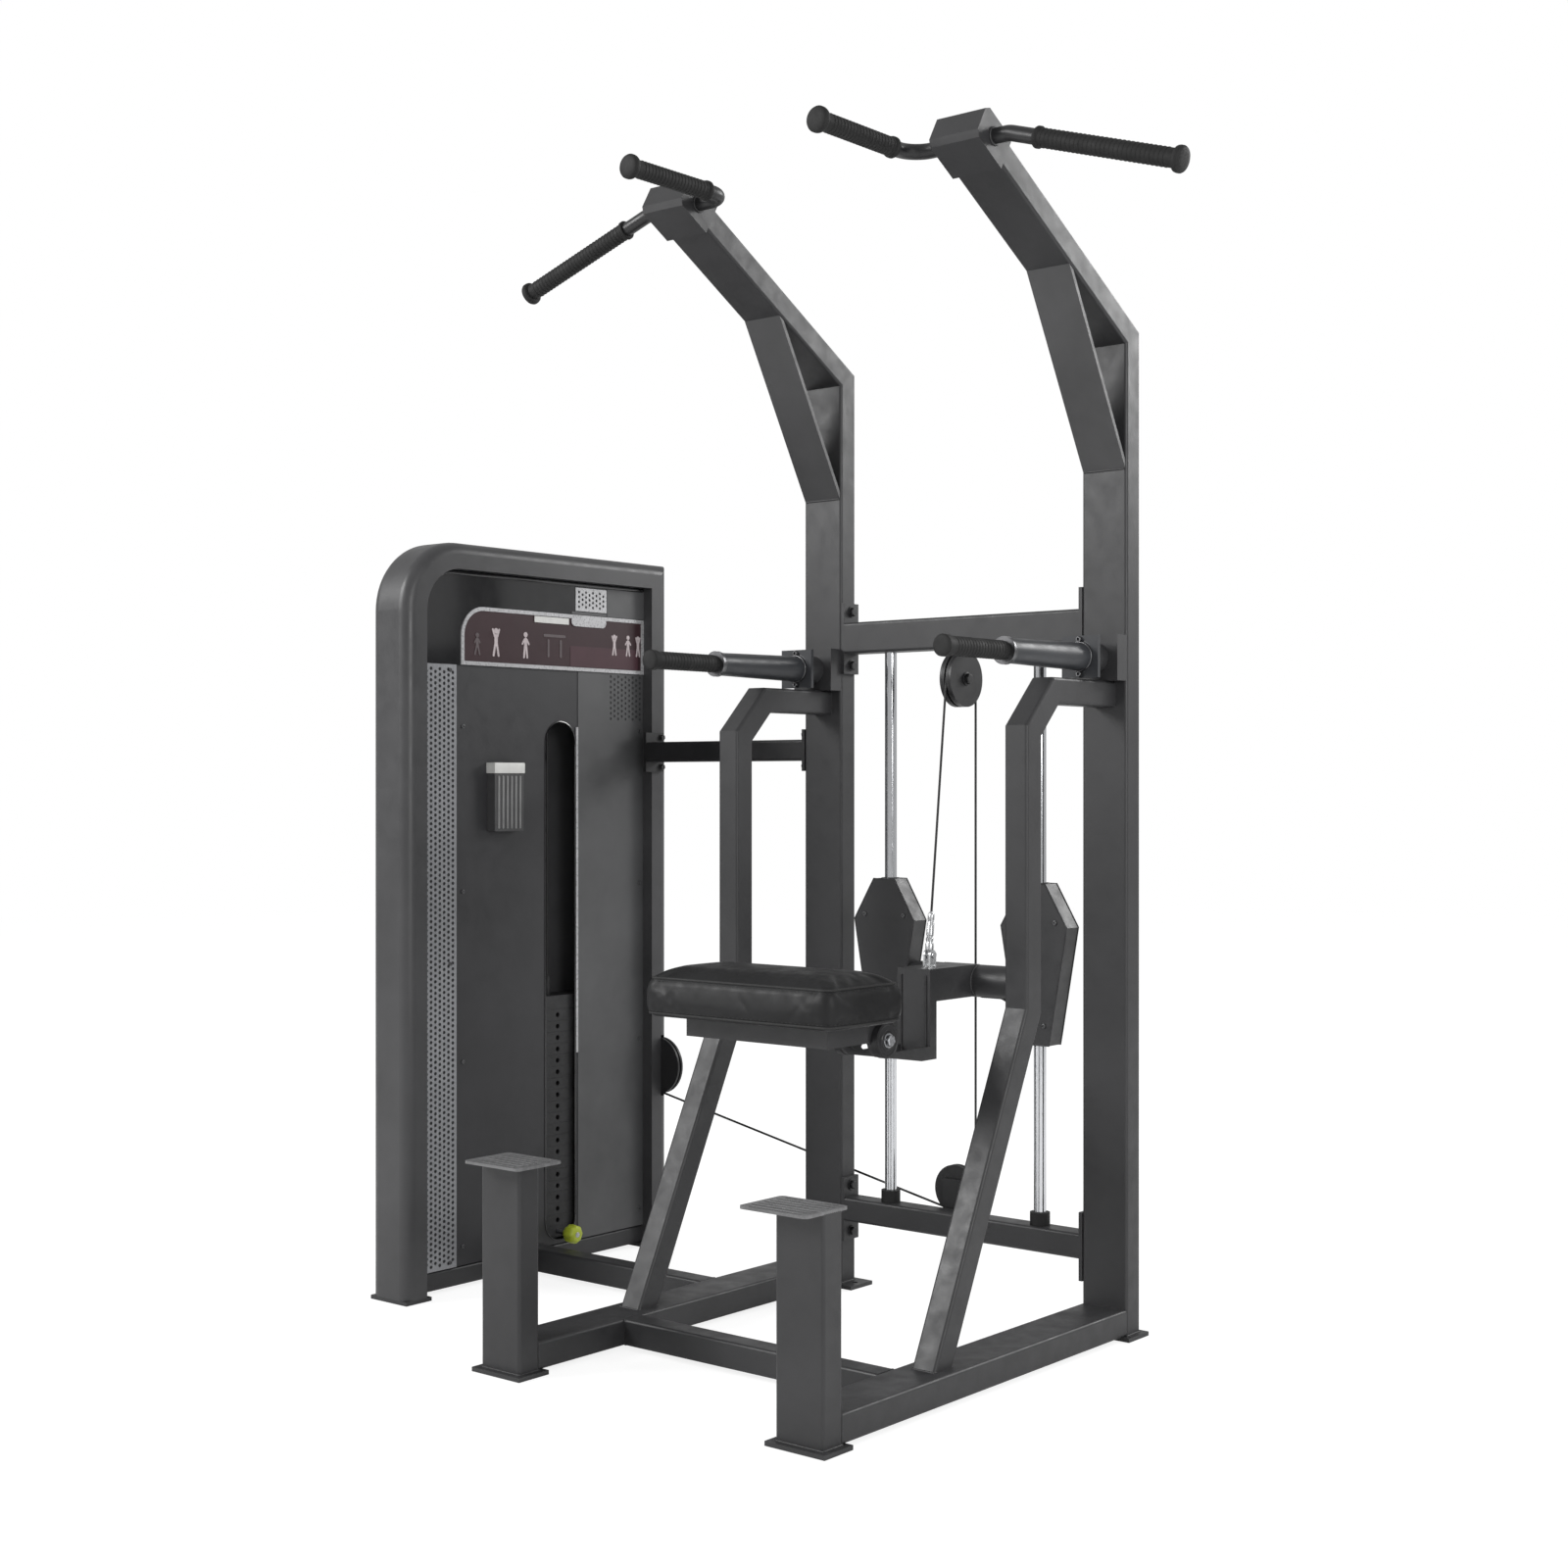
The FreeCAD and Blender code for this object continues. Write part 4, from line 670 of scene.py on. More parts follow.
def perforated(bm, x, thick, y0, y1, z0, z1, pitch, radius):
    """A sheet of staggered round holes: each cell's eight outer points meet its neighbours'."""
    columns = int((y1 - y0) / pitch)
    count = int((z1 - z0) / pitch)
    left = (y0 + y1 - columns * pitch) / 2
    low = (z0 + z1 - count * pitch) / 2
    right = left + columns * pitch
    high = low + count * pitch
    half = pitch / 2
    corners = ((half, 0), (half, half), (0, half), (-half, half), (-half, 0), (-half, -half), (0, -half),
               (half, -half))
    hole = [(radius * math.cos(TURN * k / 8), radius * math.sin(TURN * k / 8)) for k in range(8)]
    for column in range(columns):
        cy = left + (column + 0.5) * pitch
        shift = (column % 2) * half
        for step in range(count - column % 2):
            cz = low + (step + 0.5) * pitch + shift
            rings = [[bm.verts.new(mm(x + depth, cy + a, cz + b)) for a, b in loop]
                     for depth in (0, thick) for loop in (corners, hole)]
            bridge(bm, rings[0], rings[1])
            bridge(bm, rings[1], rings[3])
            bridge(bm, rings[3], rings[2])
        if column % 2:
            for start in (low, high - half):
                plate_x(bm, x, thick, [(cy - half, start), (cy, start), (cy + half, start),
                                       (cy + half, start + half), (cy, start + half),
                                       (cy - half, start + half)])
    for pairs in (rect_pairs(y0, left, z0, z1), rect_pairs(right, y1, z0, z1),
                  rect_pairs(left, right, z0, low), rect_pairs(left, right, high, z1)):
        if pairs[1][0] - pairs[0][0] > 0.1 and pairs[2][1] - pairs[1][1] > 0.1:
            plate_x(bm, x, thick, pairs)


def capsule(bm, x, thick, start, end, radius):
    turn = math.degrees(math.atan2(end[1] - start[1], end[0] - start[0]))
    pairs = arc_pairs(end[0], end[1], radius, turn - 90, turn + 90, 6)
    pairs += arc_pairs(start[0], start[1], radius, turn + 90, turn + 270, 6)
    plate_x(bm, x, thick, pairs)


# The pictogram's own units: a figure is 60 units tall, with its middle at the origin.
FIGURE_TALL = 60.0
HEAD_HIGH = 23
HEAD_RADIUS = 6
SHOULDER_HIGH = 12
TRUNK_LOW = -4
TRUNK_RADIUS = 4.6
SHOULDER_OUT = 4
ARM_RADIUS = 2.2
HIP = (2.5, -5)
LEG_RADIUS = 2.6
# Middle y, middle z, height, hand and foot (each out from the middle and up from it)
BRIGHT_FIGURES = ((-456, 1373, 62, (9, 26), (7, -28)), (-369, 1371, 58, (10, 2), (5, -28)),
                  (-92, 1384, 50, (9, 24), (6, -26)), (-47, 1384, 50, (10, 4), (6, -26)),
                  (-14, 1384, 50, (8, 24), (6, -26)))
FAINT_FIGURE = (-510, 1366, 50, (9, 4), (8, -26))
FAINT_BARS = (((-300, 1350), (-300, 1384)), ((-262, 1350), (-262, 1384)), ((-312, 1395), (-250, 1395)))
PLACARD_FRONT = -556
PLACARD_LOW = 1320
PLACARD_TOP = 1446
PLACARD_CORNER = 63
BORDER_ROWS = ((0, 0), (2.0, 0.6), (2.0, 8.4), (0, 9))


def figure(bm, y, z, size, hand, foot):
    """A plain exercise pictogram: head, trunk, two arms and two legs, each a rounded bar."""
    u = size / FIGURE_TALL
    shoulder = z + SHOULDER_HIGH * u
    plate_x(bm, PLACARD_X, 1.0, arc_pairs(y, z + HEAD_HIGH * u, HEAD_RADIUS * u, 0, 337.5, 15))
    capsule(bm, PLACARD_X, 1.0, (y, shoulder), (y, z + TRUNK_LOW * u), TRUNK_RADIUS * u)
    for side in SIDES:
        out = side * u
        capsule(bm, PLACARD_X, 0.9, (y + out * SHOULDER_OUT, shoulder), (y + out * hand[0], z + hand[1] * u),
                ARM_RADIUS * u)
        capsule(bm, PLACARD_X, 0.9, (y + out * HIP[0], z + HIP[1] * u), (y + out * foot[0], z + foot[1] * u),
                LEG_RADIUS * u)


def placard_outline(inset):
    y1 = REAR_Y - inset
    y0 = PLACARD_FRONT + inset
    z0 = PLACARD_LOW + inset
    z1 = PLACARD_TOP - inset
    radius = PLACARD_CORNER - inset
    return [(y1, z0), (y0, z0)] + arc_pairs(y0 + radius, z1 - radius, radius, 180, 90, 14) + [(y1, z1)]


def placard_piece(name, look, thick, pairs, bevel=0.0):
    bm = bmesh.new()
    plate_x(bm, PLACARD_X, thick, pairs)
    finish_piece(bm, name, look, "frame", MIXED_DEG, bevel)


def placard_print():
    bm = bmesh.new()
    join_rows(bm, [[bm.verts.new(p) for p in flat_points(PLACARD_X + depth, placard_outline(inset))]
                   for depth, inset in BORDER_ROWS], closed=True)
    finish_piece(bm, "placard_border", "silver", "frame", MIXED_DEG)
    bm = bmesh.new()
    for row in BRIGHT_FIGURES:
        figure(bm, *row)
    finish_piece(bm, "placard_figures", "print", "frame", MIXED_DEG)
    bm = bmesh.new()
    figure(bm, *FAINT_FIGURE)
    for start, end in FAINT_BARS:
        capsule(bm, PLACARD_X, 0.8, start, end, 3.0)
    finish_piece(bm, "placard_faint_figures", "faint_print", "frame", MIXED_DEG)
    placard_piece("placard_bar", "pale", 2.4, rect_pairs(-343, -238, 1422, 1436), bevel=0.6 * MM)
    placard_piece("placard_bar_grey", "silver", 2.6,
                  arc_pairs(-132, 1432, 12, -90, 90, 8) + arc_pairs(-218, 1432, 12, 90, 270, 8),
                  bevel=0.6 * MM)
    placard_piece("placard_tint", "maroon_light", 0.5, rect_pairs(-232, -14, 1330, 1376))


def tower_sheets():
    """The perforated strip and grille, and the lighter sheets at the tower's rear and top."""
    bm = bmesh.new()
    perforated(bm, STRIP_X, 1.7, -672, -567, SHEET_LOW, 1320, pitch=12.0, radius=3.9)
    finish_piece(bm, "hole_strip", "aluminium", "frame", FLAT_DEG, stands_for=("perforated_strip",))
    bm = bmesh.new()
    perforated(bm, PLACARD_X, 1.4, -216, GRILLE_REAR, 1455, 1507, pitch=11.0, radius=3.4)
    finish_piece(bm, "header_grille", "silver", "frame", FLAT_DEG)
    bm = bmesh.new()
    plate_x(bm, PANEL_X, 1.2, [(REAR_Y, SHEET_LOW), (REAR_Y, VENT_LOW), (VENT_FRONT, VENT_LOW),
                               (VENT_FRONT, SHEET_HIGH), (REAR_SHEET_FRONT, SHEET_HIGH),
                               (REAR_SHEET_FRONT, SHEET_LOW)])
    perforated(bm, PANEL_X, 1.2, VENT_FRONT, REAR_Y, VENT_LOW, SHEET_HIGH, pitch=12.0, radius=3.6)
    finish_piece(bm, "rear_sheet", "rear_sheet", "frame", FLAT_DEG)
    bm = bmesh.new()
    plate_x(bm, PLACARD_X, 1.0, [(REAR_Y, HEADER_LOW), (REAR_Y, HEADER_TOP), (HEADER_SHEET_FRONT, HEADER_TOP),
                                 (HEADER_SHEET_FRONT, HEADER_LOW)])
    for low, high in ((HEADER_LOW, 1453), (1509, HEADER_TOP)):
        plate_x(bm, PLACARD_X, 1.0, [(GRILLE_REAR, low), (GRILLE_REAR, high), (HEADER_FRONT, high),
                                     (HEADER_FRONT, low)])
    finish_piece(bm, "header_sheet", "rear_sheet", "frame", FLAT_DEG)


def tower_edges():
    """A pale metal strip along the selector slot's rear edge, which paints the highlight of the bent edge
    there, the bead round the slot, the bead of the top cover, and the panel screws.
    """
    bm = bmesh.new()
    # Painted highlight: the pale strip beside the slot shows the bend's highlight as colour
    plate_x(bm, PANEL_X, 3.2, rect_pairs(*SLOT_HIGHLIGHT_STRIP))
    finish_piece(bm, "slot_edge_highlight_strip", "silver", "frame", FLAT_DEG, bevel=0.8 * MM)
    bm = bmesh.new()
    slot = arc_pairs(SLOT_Y, SLOT_TOP - SLOT_END, SLOT_BEAD_RADIUS, 0, 180, 16)
    slot += arc_pairs(SLOT_Y, SLOT_LOW + SLOT_END, SLOT_BEAD_RADIUS, 180, 360, 16)
    tube(bm, spaced(flat_points(PANEL_X, slot), 6 * MM), 1.9 * MM, count=6, closed=True)
    cover = [(-667, 1326)] + arc_pairs(-579, 1426, 88, 180, 90, 24) + [(1, 1514)]
    tube(bm, spaced(flat_points(COVER_X, cover), 12 * MM, closed=False), 4.6 * MM, count=12)
    finish_piece(bm, "edge_beads", "gloss", "frame", ROUND_DEG)
    bm = bmesh.new()
    for x, way, radius, thick, places in PANEL_SCREWS:
        for y, z in places:
            cap_screw(bm, mm(x, y, z), way, radius=radius * MM, thick=thick * MM)
    finish_piece(bm, "panel_screws", "dark_zinc", "frame", FLAT_DEG, bevel=0.25 * MM)


# Pocket for small items on the tower's panel

POCKET_WALLS = {
    "back": ((-905, -479, 967), (-902.4, -395, 1092)),
    "front end": ((-902.4, -479, 967), (-881.6, -476.4, 1092)),
    "rear end": ((-902.4, -397.6, 967), (-881.6, -395, 1092)),
    "floor": ((-902.4, -476.4, 967), (-881.6, -397.6, 970)),
    "face": ((-881.6, -479, 967), (-879.6, -395, 1092)),
}
RIB_PROFILE = in_mm(((0, 1), (2, 2.6), (112, 2.6), (114, 1)))
RIB_COUNT = 6
RIB_PITCH = 12.4
RIB_START = (-879.8, -468, 972)
LIP_MIDDLE = (-891.4, -437)
# Half depth, half width and height of each row round the pocket's mouth
LIP_ROWS = ((13.6, 43.6, 1091), (14, 44, 1093), (14, 44, 1112), (13, 43, 1114), (10, 40, 1114),
            (9.6, 39.6, 1091))


def pocket_holder():
    bm = bmesh.new()
    for low, high in POCKET_WALLS.values():
        box(bm, mm(*low), mm(*high))
    finish_piece(bm, "holder_body", "holder", "frame", FLAT_DEG, bevel=1.2 * MM,
                 stands_for=("accessory_tray",))
    bm = bmesh.new()
    x, y, z = RIB_START
    for k in range(RIB_COUNT):
        lathe(bm, mm(x, y + k * RIB_PITCH, z), Z, RIB_PROFILE, count=12)
    finish_piece(bm, "holder_ribs", "pale_dim", "frame", MIXED_DEG)
    bm = bmesh.new()
    x, y = LIP_MIDDLE
    join_rows(bm, [[bm.verts.new(mm(x + a * deep, y + b * wide, z))
                    for a, b in ((-1, -1), (1, -1), (1, 1), (-1, 1))] for deep, wide, z in LIP_ROWS],
              closed=True)
    finish_piece(bm, "holder_lip", "pale", "frame", MIXED_DEG, bevel=1.0 * MM)


# Selector knob

KNOB_X = -885
KNOB_Y = -260
KNOB_Z = 74.8
KNOB_POINTS = 96
KNOB_FLUTES = 8
KNOB_DEG = 50.0
FLUTE_DEPTH = 1.5
# Distance along the knob, its radius there and how deep its flutes are, in millimetres
KNOB_ROWS = ((0, 10, 0), (0.8, 13, 0), (5, 15, 0.2), (9, 20, 1.0), (15, 21.0, 1.3), (25, 21.0, 1.3),
             (30, 19.4, 1.0), (33, 15.6, 0.5), (34, 10, 0), (34.2, 0.2, 0))
# Each metal cap's place along the knob, and its profile
KNOB_CAPS = ((33.8, ((0, 6), (0.7, 6), (1.1, 5.2), (1.2, 1))), (-4, ((0, 8.5), (3.4, 8.5), (3.8, 8))))


def knob_radius(radius, flute, turn):
    return (radius - flute * FLUTE_DEPTH * (0.5 - 0.5 * math.cos(KNOB_FLUTES * turn))) * MM


def star_knob():
    """A fluted hand knob with a crowned end, on the selector pin."""
    bm = bmesh.new()
    side, other, along = basis(X)
    centre = mm(KNOB_X, KNOB_Y, KNOB_Z)
    turns = [TURN * k / KNOB_POINTS for k in range(KNOB_POINTS)]
    join_rows(bm, [[bm.verts.new(centre + along * a * MM + side * knob_radius(r, flute, t) * math.cos(t)
                                 + other * knob_radius(r, flute, t) * math.sin(t)) for t in turns]
                   for a, r, flute in KNOB_ROWS])
    finish_piece(bm, "selector_star_knob", "yellow", "selector", KNOB_DEG, stands_for=("selector_knob",))
    bm = bmesh.new()
    for a, profile in KNOB_CAPS:
        lathe(bm, mm(KNOB_X + a, KNOB_Y, KNOB_Z), X, in_mm(profile), count=32)
    finish_piece(bm, "selector_knob_caps", "zinc", "selector", MIXED_DEG)


# Bars and handles

WIDE_CORNER = (432.0, -480.0, 2205.13)
WIDE_END = (762.0, -480.0, 2099.13)
GRIP_START_SHARE = 0.18
GRIP_SHARE = 0.82
COLLAR_BACK = 2 * MM
FIRST_RIB = 14
NEUTRAL_START = (222, -540, 2205.13)
NEUTRAL_GRIP = 206 * MM
RIB_STEP = 9
RIB_WIRE = 0.9 * MM
GRIP_RIB_RADIUS = 16.5 * MM
DIP_RIB_RADIUS = 17.0 * MM
DIP_RIBS = 18
DIP_RIB_START = -382
DIP_END_Y = -563
END_CAP_PROFILE = in_mm(((-1, 17.5), (-0.5, 20), (1, 22.2), (4, 23), (9, 23), (11.5, 21.6), (13.2, 18),
                         (14, 12), (14.2, 2)))
COLLAR_PROFILE = in_mm(((0, 15), (0, 18.6), (1.4, 19.4), (6, 19.4), (8, 17.6), (9, 16.6)))
DIP_END_PROFILE = in_mm(((0, 19.8), (1.4, 19.6), (3, 17.5), (4, 12), (4.2, 2)))
# Place along y, radius and wire radius of the rings round each dip handle
DIP_RINGS = ((-112.5, 30.0, 1.6), (-118, 27.4, 1.6), (-364.5, 25.0, 0.8), (-373.5, 25.0, 0.8))


def bar_ends():
    """Every pull-up grip as (start, way, length), left side first."""
    start = mm(*WIDE_CORNER)
    end = mm(*WIDE_END)
    way = (end - start).normalized()
    length = (end - start).length
    found = []
    for side in SIDES:
        flip = Vector((side, 1, 1))
        grip_start = start + way * length * GRIP_START_SHARE
        found.append((grip_start * flip, way * flip, length * GRIP_SHARE))
        found.append((mm(*NEUTRAL_START) * flip, -Y, NEUTRAL_GRIP))
    return found


def grip_detail():
    caps = bmesh.new()
    ribs = bmesh.new()
    for start, way, length in bar_ends():
        lathe(caps, start + way * length, way, END_CAP_PROFILE, count=48)
        lathe(ribs, start - way * COLLAR_BACK, way, COLLAR_PROFILE, count=48)
        for k in range(int(length / (RIB_STEP * MM)) - 2):
            path = circle(start + way * (FIRST_RIB * MM + k * RIB_STEP * MM), way, GRIP_RIB_RADIUS, count=36)
            tube(ribs, path, RIB_WIRE, count=6, closed=True)
    finish_piece(caps, "bar_end_caps", "rubber", "frame", ROUND_DEG, stands_for=("pullup_end_caps",))
    for side in SIDES:
        for k in range(DIP_RIBS):
            path = circle(mm(side * DIP_X, DIP_RIB_START - k * RIB_STEP, DIP_Z), -Y, DIP_RIB_RADIUS, count=36)
            tube(ribs, path, RIB_WIRE, count=6, closed=True)
        lathe(ribs, mm(side * DIP_X, DIP_END_Y, DIP_Z), -Y, DIP_END_PROFILE, count=48)
    finish_piece(ribs, "grip_ribs", "rubber", "frame", ROUND_DEG)
    bm = bmesh.new()
    for side in SIDES:
        for y, radius, wire in DIP_RINGS:
            tube(bm, circle(mm(side * DIP_X, y, DIP_Z), -Y, radius * MM), wire * MM, count=8, closed=True)
    finish_piece(bm, "dip_handle_rings", "dark_zinc", "frame", ROUND_DEG)


# Carriage

ROD_X = 185
CROSS_TUBE_Z = 668
TUBE_WELD_X = 40.6
TUBE_WELD_RADIUS = 33.4
TUBE_WELD_DEGREES = range(-60, 90, 10)
GUSSET_WELD_X = (50, 120)
GUSSET_WELD_Y = 8.6
GUSSET_WELD_Z = 637
BRACKET_WELD_X = 30
BRACKET_WELD_Y = -173
BRACKET_WELD_Z = (690, 534)
COVER_SCREWS = ((-50, 795), (50, 795), (-24, 590), (24, 590))
COVER_FACES = ((-24, -Y), (20, Y))
COVER_EDGE_Y = (-23.6, 19.6)
COVER_OUTLINE = ((27, 870), (77, 785), (36, 551), (-36, 551), (-77, 785), (-27, 870))
COVER_ENDS = ((870, Z), (551, -Z))
COVER_RING = in_mm(((-1, 14.8), (0, 20.5), (1.6, 20), (2.2, 18), (2.2, 14.8), (-1, 14.8)))
HINGE_Y = -330
HINGE_Z = 578
BOSS_X = 54.0
BOSS_PROFILE = in_mm(((-0.4, 33.5), (0.6, 33), (1.0, 30), (-0.3, 28), (-0.3, 20), (1.2, 18.5), (1.8, 17),
                      (1.8, 9)))
HINGE_BOLT_X = 55.6


def carriage_detail():
    bm = bmesh.new()
    for side in SIDES:
        bead(bm, [mm(side * TUBE_WELD_X, -TUBE_WELD_RADIUS * math.cos(math.radians(d)),
                     CROSS_TUBE_Z + TUBE_WELD_RADIUS * math.sin(math.radians(d)))
                  for d in TUBE_WELD_DEGREES], closed=False)
        for y in (-GUSSET_WELD_Y, GUSSET_WELD_Y):
            bead(bm, [mm(side * x, y, GUSSET_WELD_Z) for x in GUSSET_WELD_X], closed=False)
        bead(bm, [mm(side * BRACKET_WELD_X, BRACKET_WELD_Y, z) for z in BRACKET_WELD_Z], closed=False)
    finish_piece(bm, "carriage_welds", "weld", "carriage", ROUND_DEG)
    bm = bmesh.new()
    for side in SIDES:
        for x, z in COVER_SCREWS:
            for y, way in COVER_FACES:
                cap_screw(bm, mm(side * (ROD_X + x), y, z), way, radius=4.6 * MM, thick=2.8 * MM)
    finish_piece(bm, "cover_screws", "dark_zinc", "carriage", FLAT_DEG, bevel=0.25 * MM)
    bm = bmesh.new()
    for side in SIDES:
        for y in COVER_EDGE_Y:
            corners = [mm(side * (ROD_X + x), y, z) for x, z in COVER_OUTLINE]
            tube(bm, spaced(corners, 20 * MM), 1.5 * MM, count=6, closed=True)
        for z, way in COVER_ENDS:
            lathe(bm, mm(side * ROD_X, 0, z), way, COVER_RING)
    finish_piece(bm, "cover_edges", "frame", "carriage", ROUND_DEG)
    bm = bmesh.new()
    for side in SIDES:
        lathe(bm, mm(side * BOSS_X, HINGE_Y, HINGE_Z), X * side, BOSS_PROFILE, count=56)
    finish_piece(bm, "hinge_boss_faces", "black", "carriage", MIXED_DEG)
    bm = bmesh.new()
    for side in SIDES:
        hex_bolt(bm, mm(side * HINGE_BOLT_X, HINGE_Y, HINGE_Z), X * side, flat=11.5 * MM, thick=7.5 * MM)
    finish_piece(bm, "hinge_bolt_heads", "zinc", "carriage", FLAT_DEG, bevel=0.4 * MM)


# The cable's lower end, in line with its run to the upper pulley

CLEVIS_Y = -118
CLEVIS_LOW = 702
CLEVIS_PIN_X = -12.5
CLEVIS_PIN_Z = 726
CLEVIS_HALF = 10
CLEVIS_CHEEKS_X = (-9, 5)
CLEVIS_CHEEK_THICK = 4
CLEVIS_DEG = 35.0
EYE_LOW = 718
SLEEVE_LOW = 755
CABLE_TOP = (0, -58.4, 1287)
CLEVIS_FOOT = in_mm(((0, 13), (3, 13), (4, 12)))
CLEVIS_PIN = in_mm(((0, 6.5), (3, 6.5), (3, 4.4), (22, 4.4), (22, 6.5), (25, 6.5)))
EYE_PROFILE = in_mm(((0, 4.6), (16, 4.6), (18, 8.5), (30, 8.5), (33, 6.5), (37, 6.2)))
SLEEVE_PROFILE = in_mm(((-2, 6.2), (0, 7.6), (4, 7.8), (6, 6.2), (9, 6.2), (10, 7.4), (34, 7.4), (36, 6.0),
                        (39, 6.0), (41, 6.9), (52, 6.6), (56, 4.4), (58, 2.6)))


def cable_end():
    """A clevis with its pin, a threaded eye and a crimped sleeve, in line with the carriage cable."""
    top = mm(0, CLEVIS_Y, SLEEVE_LOW)
    way = (mm(*CABLE_TOP) - top).normalized()
    bm = bmesh.new()
    pairs = [(CLEVIS_Y - CLEVIS_HALF, CLEVIS_LOW), (CLEVIS_Y + CLEVIS_HALF, CLEVIS_LOW)]
    pairs += arc_pairs(CLEVIS_Y, CLEVIS_PIN_Z, CLEVIS_HALF, 0, 180, 12)
    for x in CLEVIS_CHEEKS_X:
        plate_x(bm, x, CLEVIS_CHEEK_THICK, pairs)
    lathe(bm, mm(0, CLEVIS_Y, CLEVIS_LOW), Z, CLEVIS_FOOT, count=32)
    lathe(bm, mm(CLEVIS_PIN_X, CLEVIS_Y, CLEVIS_PIN_Z), X, CLEVIS_PIN, count=28)
    lathe(bm, mm(0, CLEVIS_Y, EYE_LOW), Z, EYE_PROFILE, count=28)
    lathe(bm, top, way, SLEEVE_PROFILE, count=32)
    finish_piece(bm, "cable_clevis", "bright_zinc", "carriage", CLEVIS_DEG, stands_for=("cable_anchor",))


# Step treads

TREAD_X = 327
TREAD_Y = -993
TREAD_Z = 389
TREAD_PITCH = 15.4
TREAD_COUNT = 7
TREAD_HALF = 58
END_TREAD_HALF = 52
TREAD_RADIUS = 3.0
TREAD_LIFT = 1.3


def tread_bar(bm, x, y, half):
    turns = [math.radians(-90 + 30 * k) for k in range(7)]
    end = [(half + TREAD_RADIUS * math.cos(t), TREAD_RADIUS * math.sin(t)) for t in turns]
    outline = [mm(x + a, y + b, TREAD_Z) for a, b in end] + [mm(x - a, y - b, TREAD_Z) for a, b in end]
    slab(bm, outline, Z * TREAD_LIFT * MM)


def step_treads():
    """Raised anti-slip bars on the two footplates."""
    bm = bmesh.new()
    for side in SIDES:
        for k in range(TREAD_COUNT):
            half = TREAD_HALF if 0 < k < TREAD_COUNT - 1 else END_TREAD_HALF
            tread_bar(bm, side * TREAD_X, TREAD_Y + k * TREAD_PITCH, half)
    finish_piece(bm, "step_treads", "tread", "frame", MIXED_DEG, bevel=0.4 * MM)


dress_nodes()
frame_welds()
bolts()
axle_nuts()
cushion_seams(cushion())
placard_print()
tower_sheets()
tower_edges()
pocket_holder()
star_knob()
grip_detail()
carriage_detail()
cable_end()
step_treads()


# Stage

FLOOR_RADIUS = 14.0
FLOOR_THICK = 0.02
FLOOR_DROP = 0.001
FLOOR_COLOR = (0.96, 0.96, 0.96, 1)
FLOOR_GLOW_SHARE = 0.7
FLOOR_GLOW = 1.2
WORLD_LIGHT = 0.55
WORLD_SEEN = 1.0
# Name, place, aim, size and power of each lamp
LAMPS = (("key", (-3.2, -4.4, 3.6), (0, -0.4, 1.0), 2.4, 190.0),
         ("fill", (4.2, -1.8, 2.2), (0, -0.3, 1.1), 2.2, 70.0),
         ("rim", (1.8, 3.8, 3.2), (0, 0, 1.1), 2.0, 90.0))
CAMERA_PLACE = (2.533, -3.6385, 1.068)
CAMERA_TURN = (90, 0, 39.59)
CAMERA_LENS = 49.615
CAMERA_SENSOR = 36.0


def floor_material():
    """Pale and matt, and brighter to the camera than its light makes it, so that it meets the backdrop."""
    mat, tree, shader = new_material("studio_floor")
    shader.inputs["Base Color"].default_value = FLOOR_COLOR
    shader.inputs["Roughness"].default_value = 0.9
    shader.inputs["Specular IOR Level"].default_value = 0.1
    glow = node(tree, "ShaderNodeEmission")
    glow.inputs["Color"].default_value = (1, 1, 1, 1)
    glow.inputs["Strength"].default_value = FLOOR_GLOW
    light_path = node(tree, "ShaderNodeLightPath")
    share = node(tree, "ShaderNodeMath", operation="MULTIPLY")
    share.inputs[1].default_value = FLOOR_GLOW_SHARE
    tree.links.new(light_path.outputs["Is Camera Ray"], share.inputs[0])
    mix = node(tree, "ShaderNodeMixShader")
    tree.links.new(share.outputs[0], mix.inputs["Fac"])
    tree.links.new(shader.outputs["BSDF"], mix.inputs[1])
    tree.links.new(glow.outputs["Emission"], mix.inputs[2])
    tree.links.new(mix.outputs["Shader"], tree.nodes["Material Output"].inputs["Surface"])
    return mat


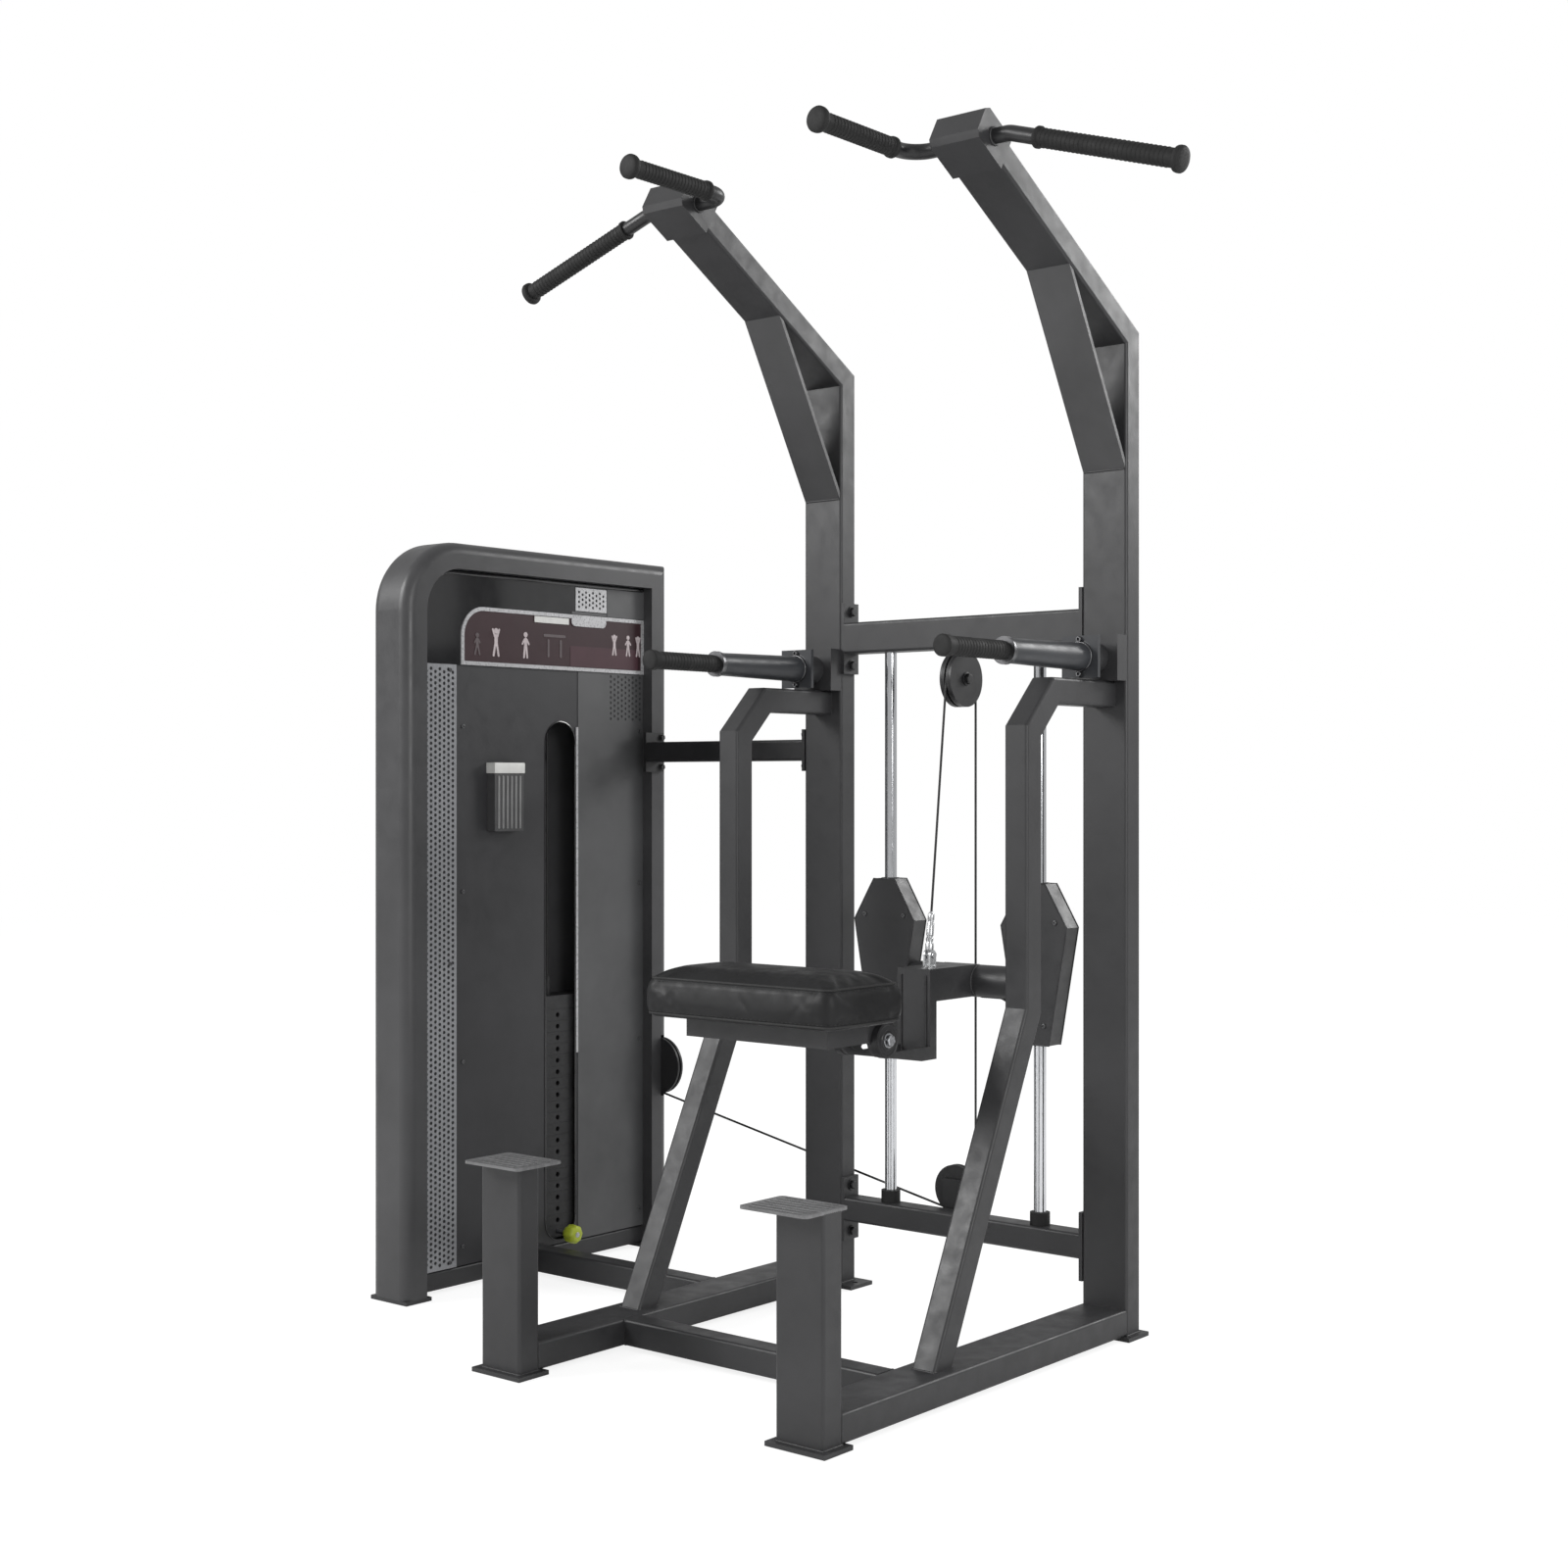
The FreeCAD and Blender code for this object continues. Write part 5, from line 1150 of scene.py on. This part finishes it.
def lay_floor():
    bm = bmesh.new()
    lathe(bm, Z * -FLOOR_DROP, Z, [(-FLOOR_THICK, FLOOR_RADIUS), (0.0, FLOOR_RADIUS)], count=96)
    mesh = bpy.data.meshes.new("studio_floor")
    bm.to_mesh(mesh)
    bm.free()
    floor = bpy.data.objects.new("studio_floor", mesh)
    bpy.context.scene.collection.objects.link(floor)
    mesh.materials.append(floor_material())


def light_world():
    """Plain white where it is seen, dimmer as a light."""
    world = bpy.data.worlds.new("studio")
    bpy.context.scene.world = world
    world.use_nodes = True
    tree = world.node_tree
    back = tree.nodes["Background"]
    back.inputs["Color"].default_value = (1, 1, 1, 1)
    light_path = node(tree, "ShaderNodeLightPath")
    seen = node(tree, "ShaderNodeMath", operation="MAXIMUM")
    tree.links.new(light_path.outputs["Is Camera Ray"], seen.inputs[0])
    tree.links.new(light_path.outputs["Is Transmission Ray"], seen.inputs[1])
    strength = node(tree, "ShaderNodeMapRange")
    tree.links.new(seen.outputs[0], strength.inputs["Value"])
    strength.inputs["To Min"].default_value = WORLD_LIGHT
    strength.inputs["To Max"].default_value = WORLD_SEEN
    tree.links.new(strength.outputs["Result"], back.inputs["Strength"])


def light_lamps():
    for name, place, aim, size, power in LAMPS:
        lamp = bpy.data.lights.new(name, "AREA")
        lamp.shape = "DISK"
        lamp.size = size
        lamp.energy = power
        obj = bpy.data.objects.new(name, lamp)
        obj.location = place
        obj.rotation_euler = (Vector(aim) - Vector(place)).to_track_quat("-Z", "Y").to_euler()
        bpy.context.scene.collection.objects.link(obj)


def set_camera():
    lens = bpy.data.cameras.new("photo_view")
    lens.sensor_width = CAMERA_SENSOR
    lens.lens = CAMERA_LENS
    camera = bpy.data.objects.new("photo_view", lens)
    camera.location = CAMERA_PLACE
    camera.rotation_euler = [math.radians(angle) for angle in CAMERA_TURN]
    bpy.context.scene.collection.objects.link(camera)
    bpy.context.scene.camera = camera


lay_floor()
light_world()
light_lamps()
set_camera()
bpy.context.scene.view_settings.view_transform = "Standard"
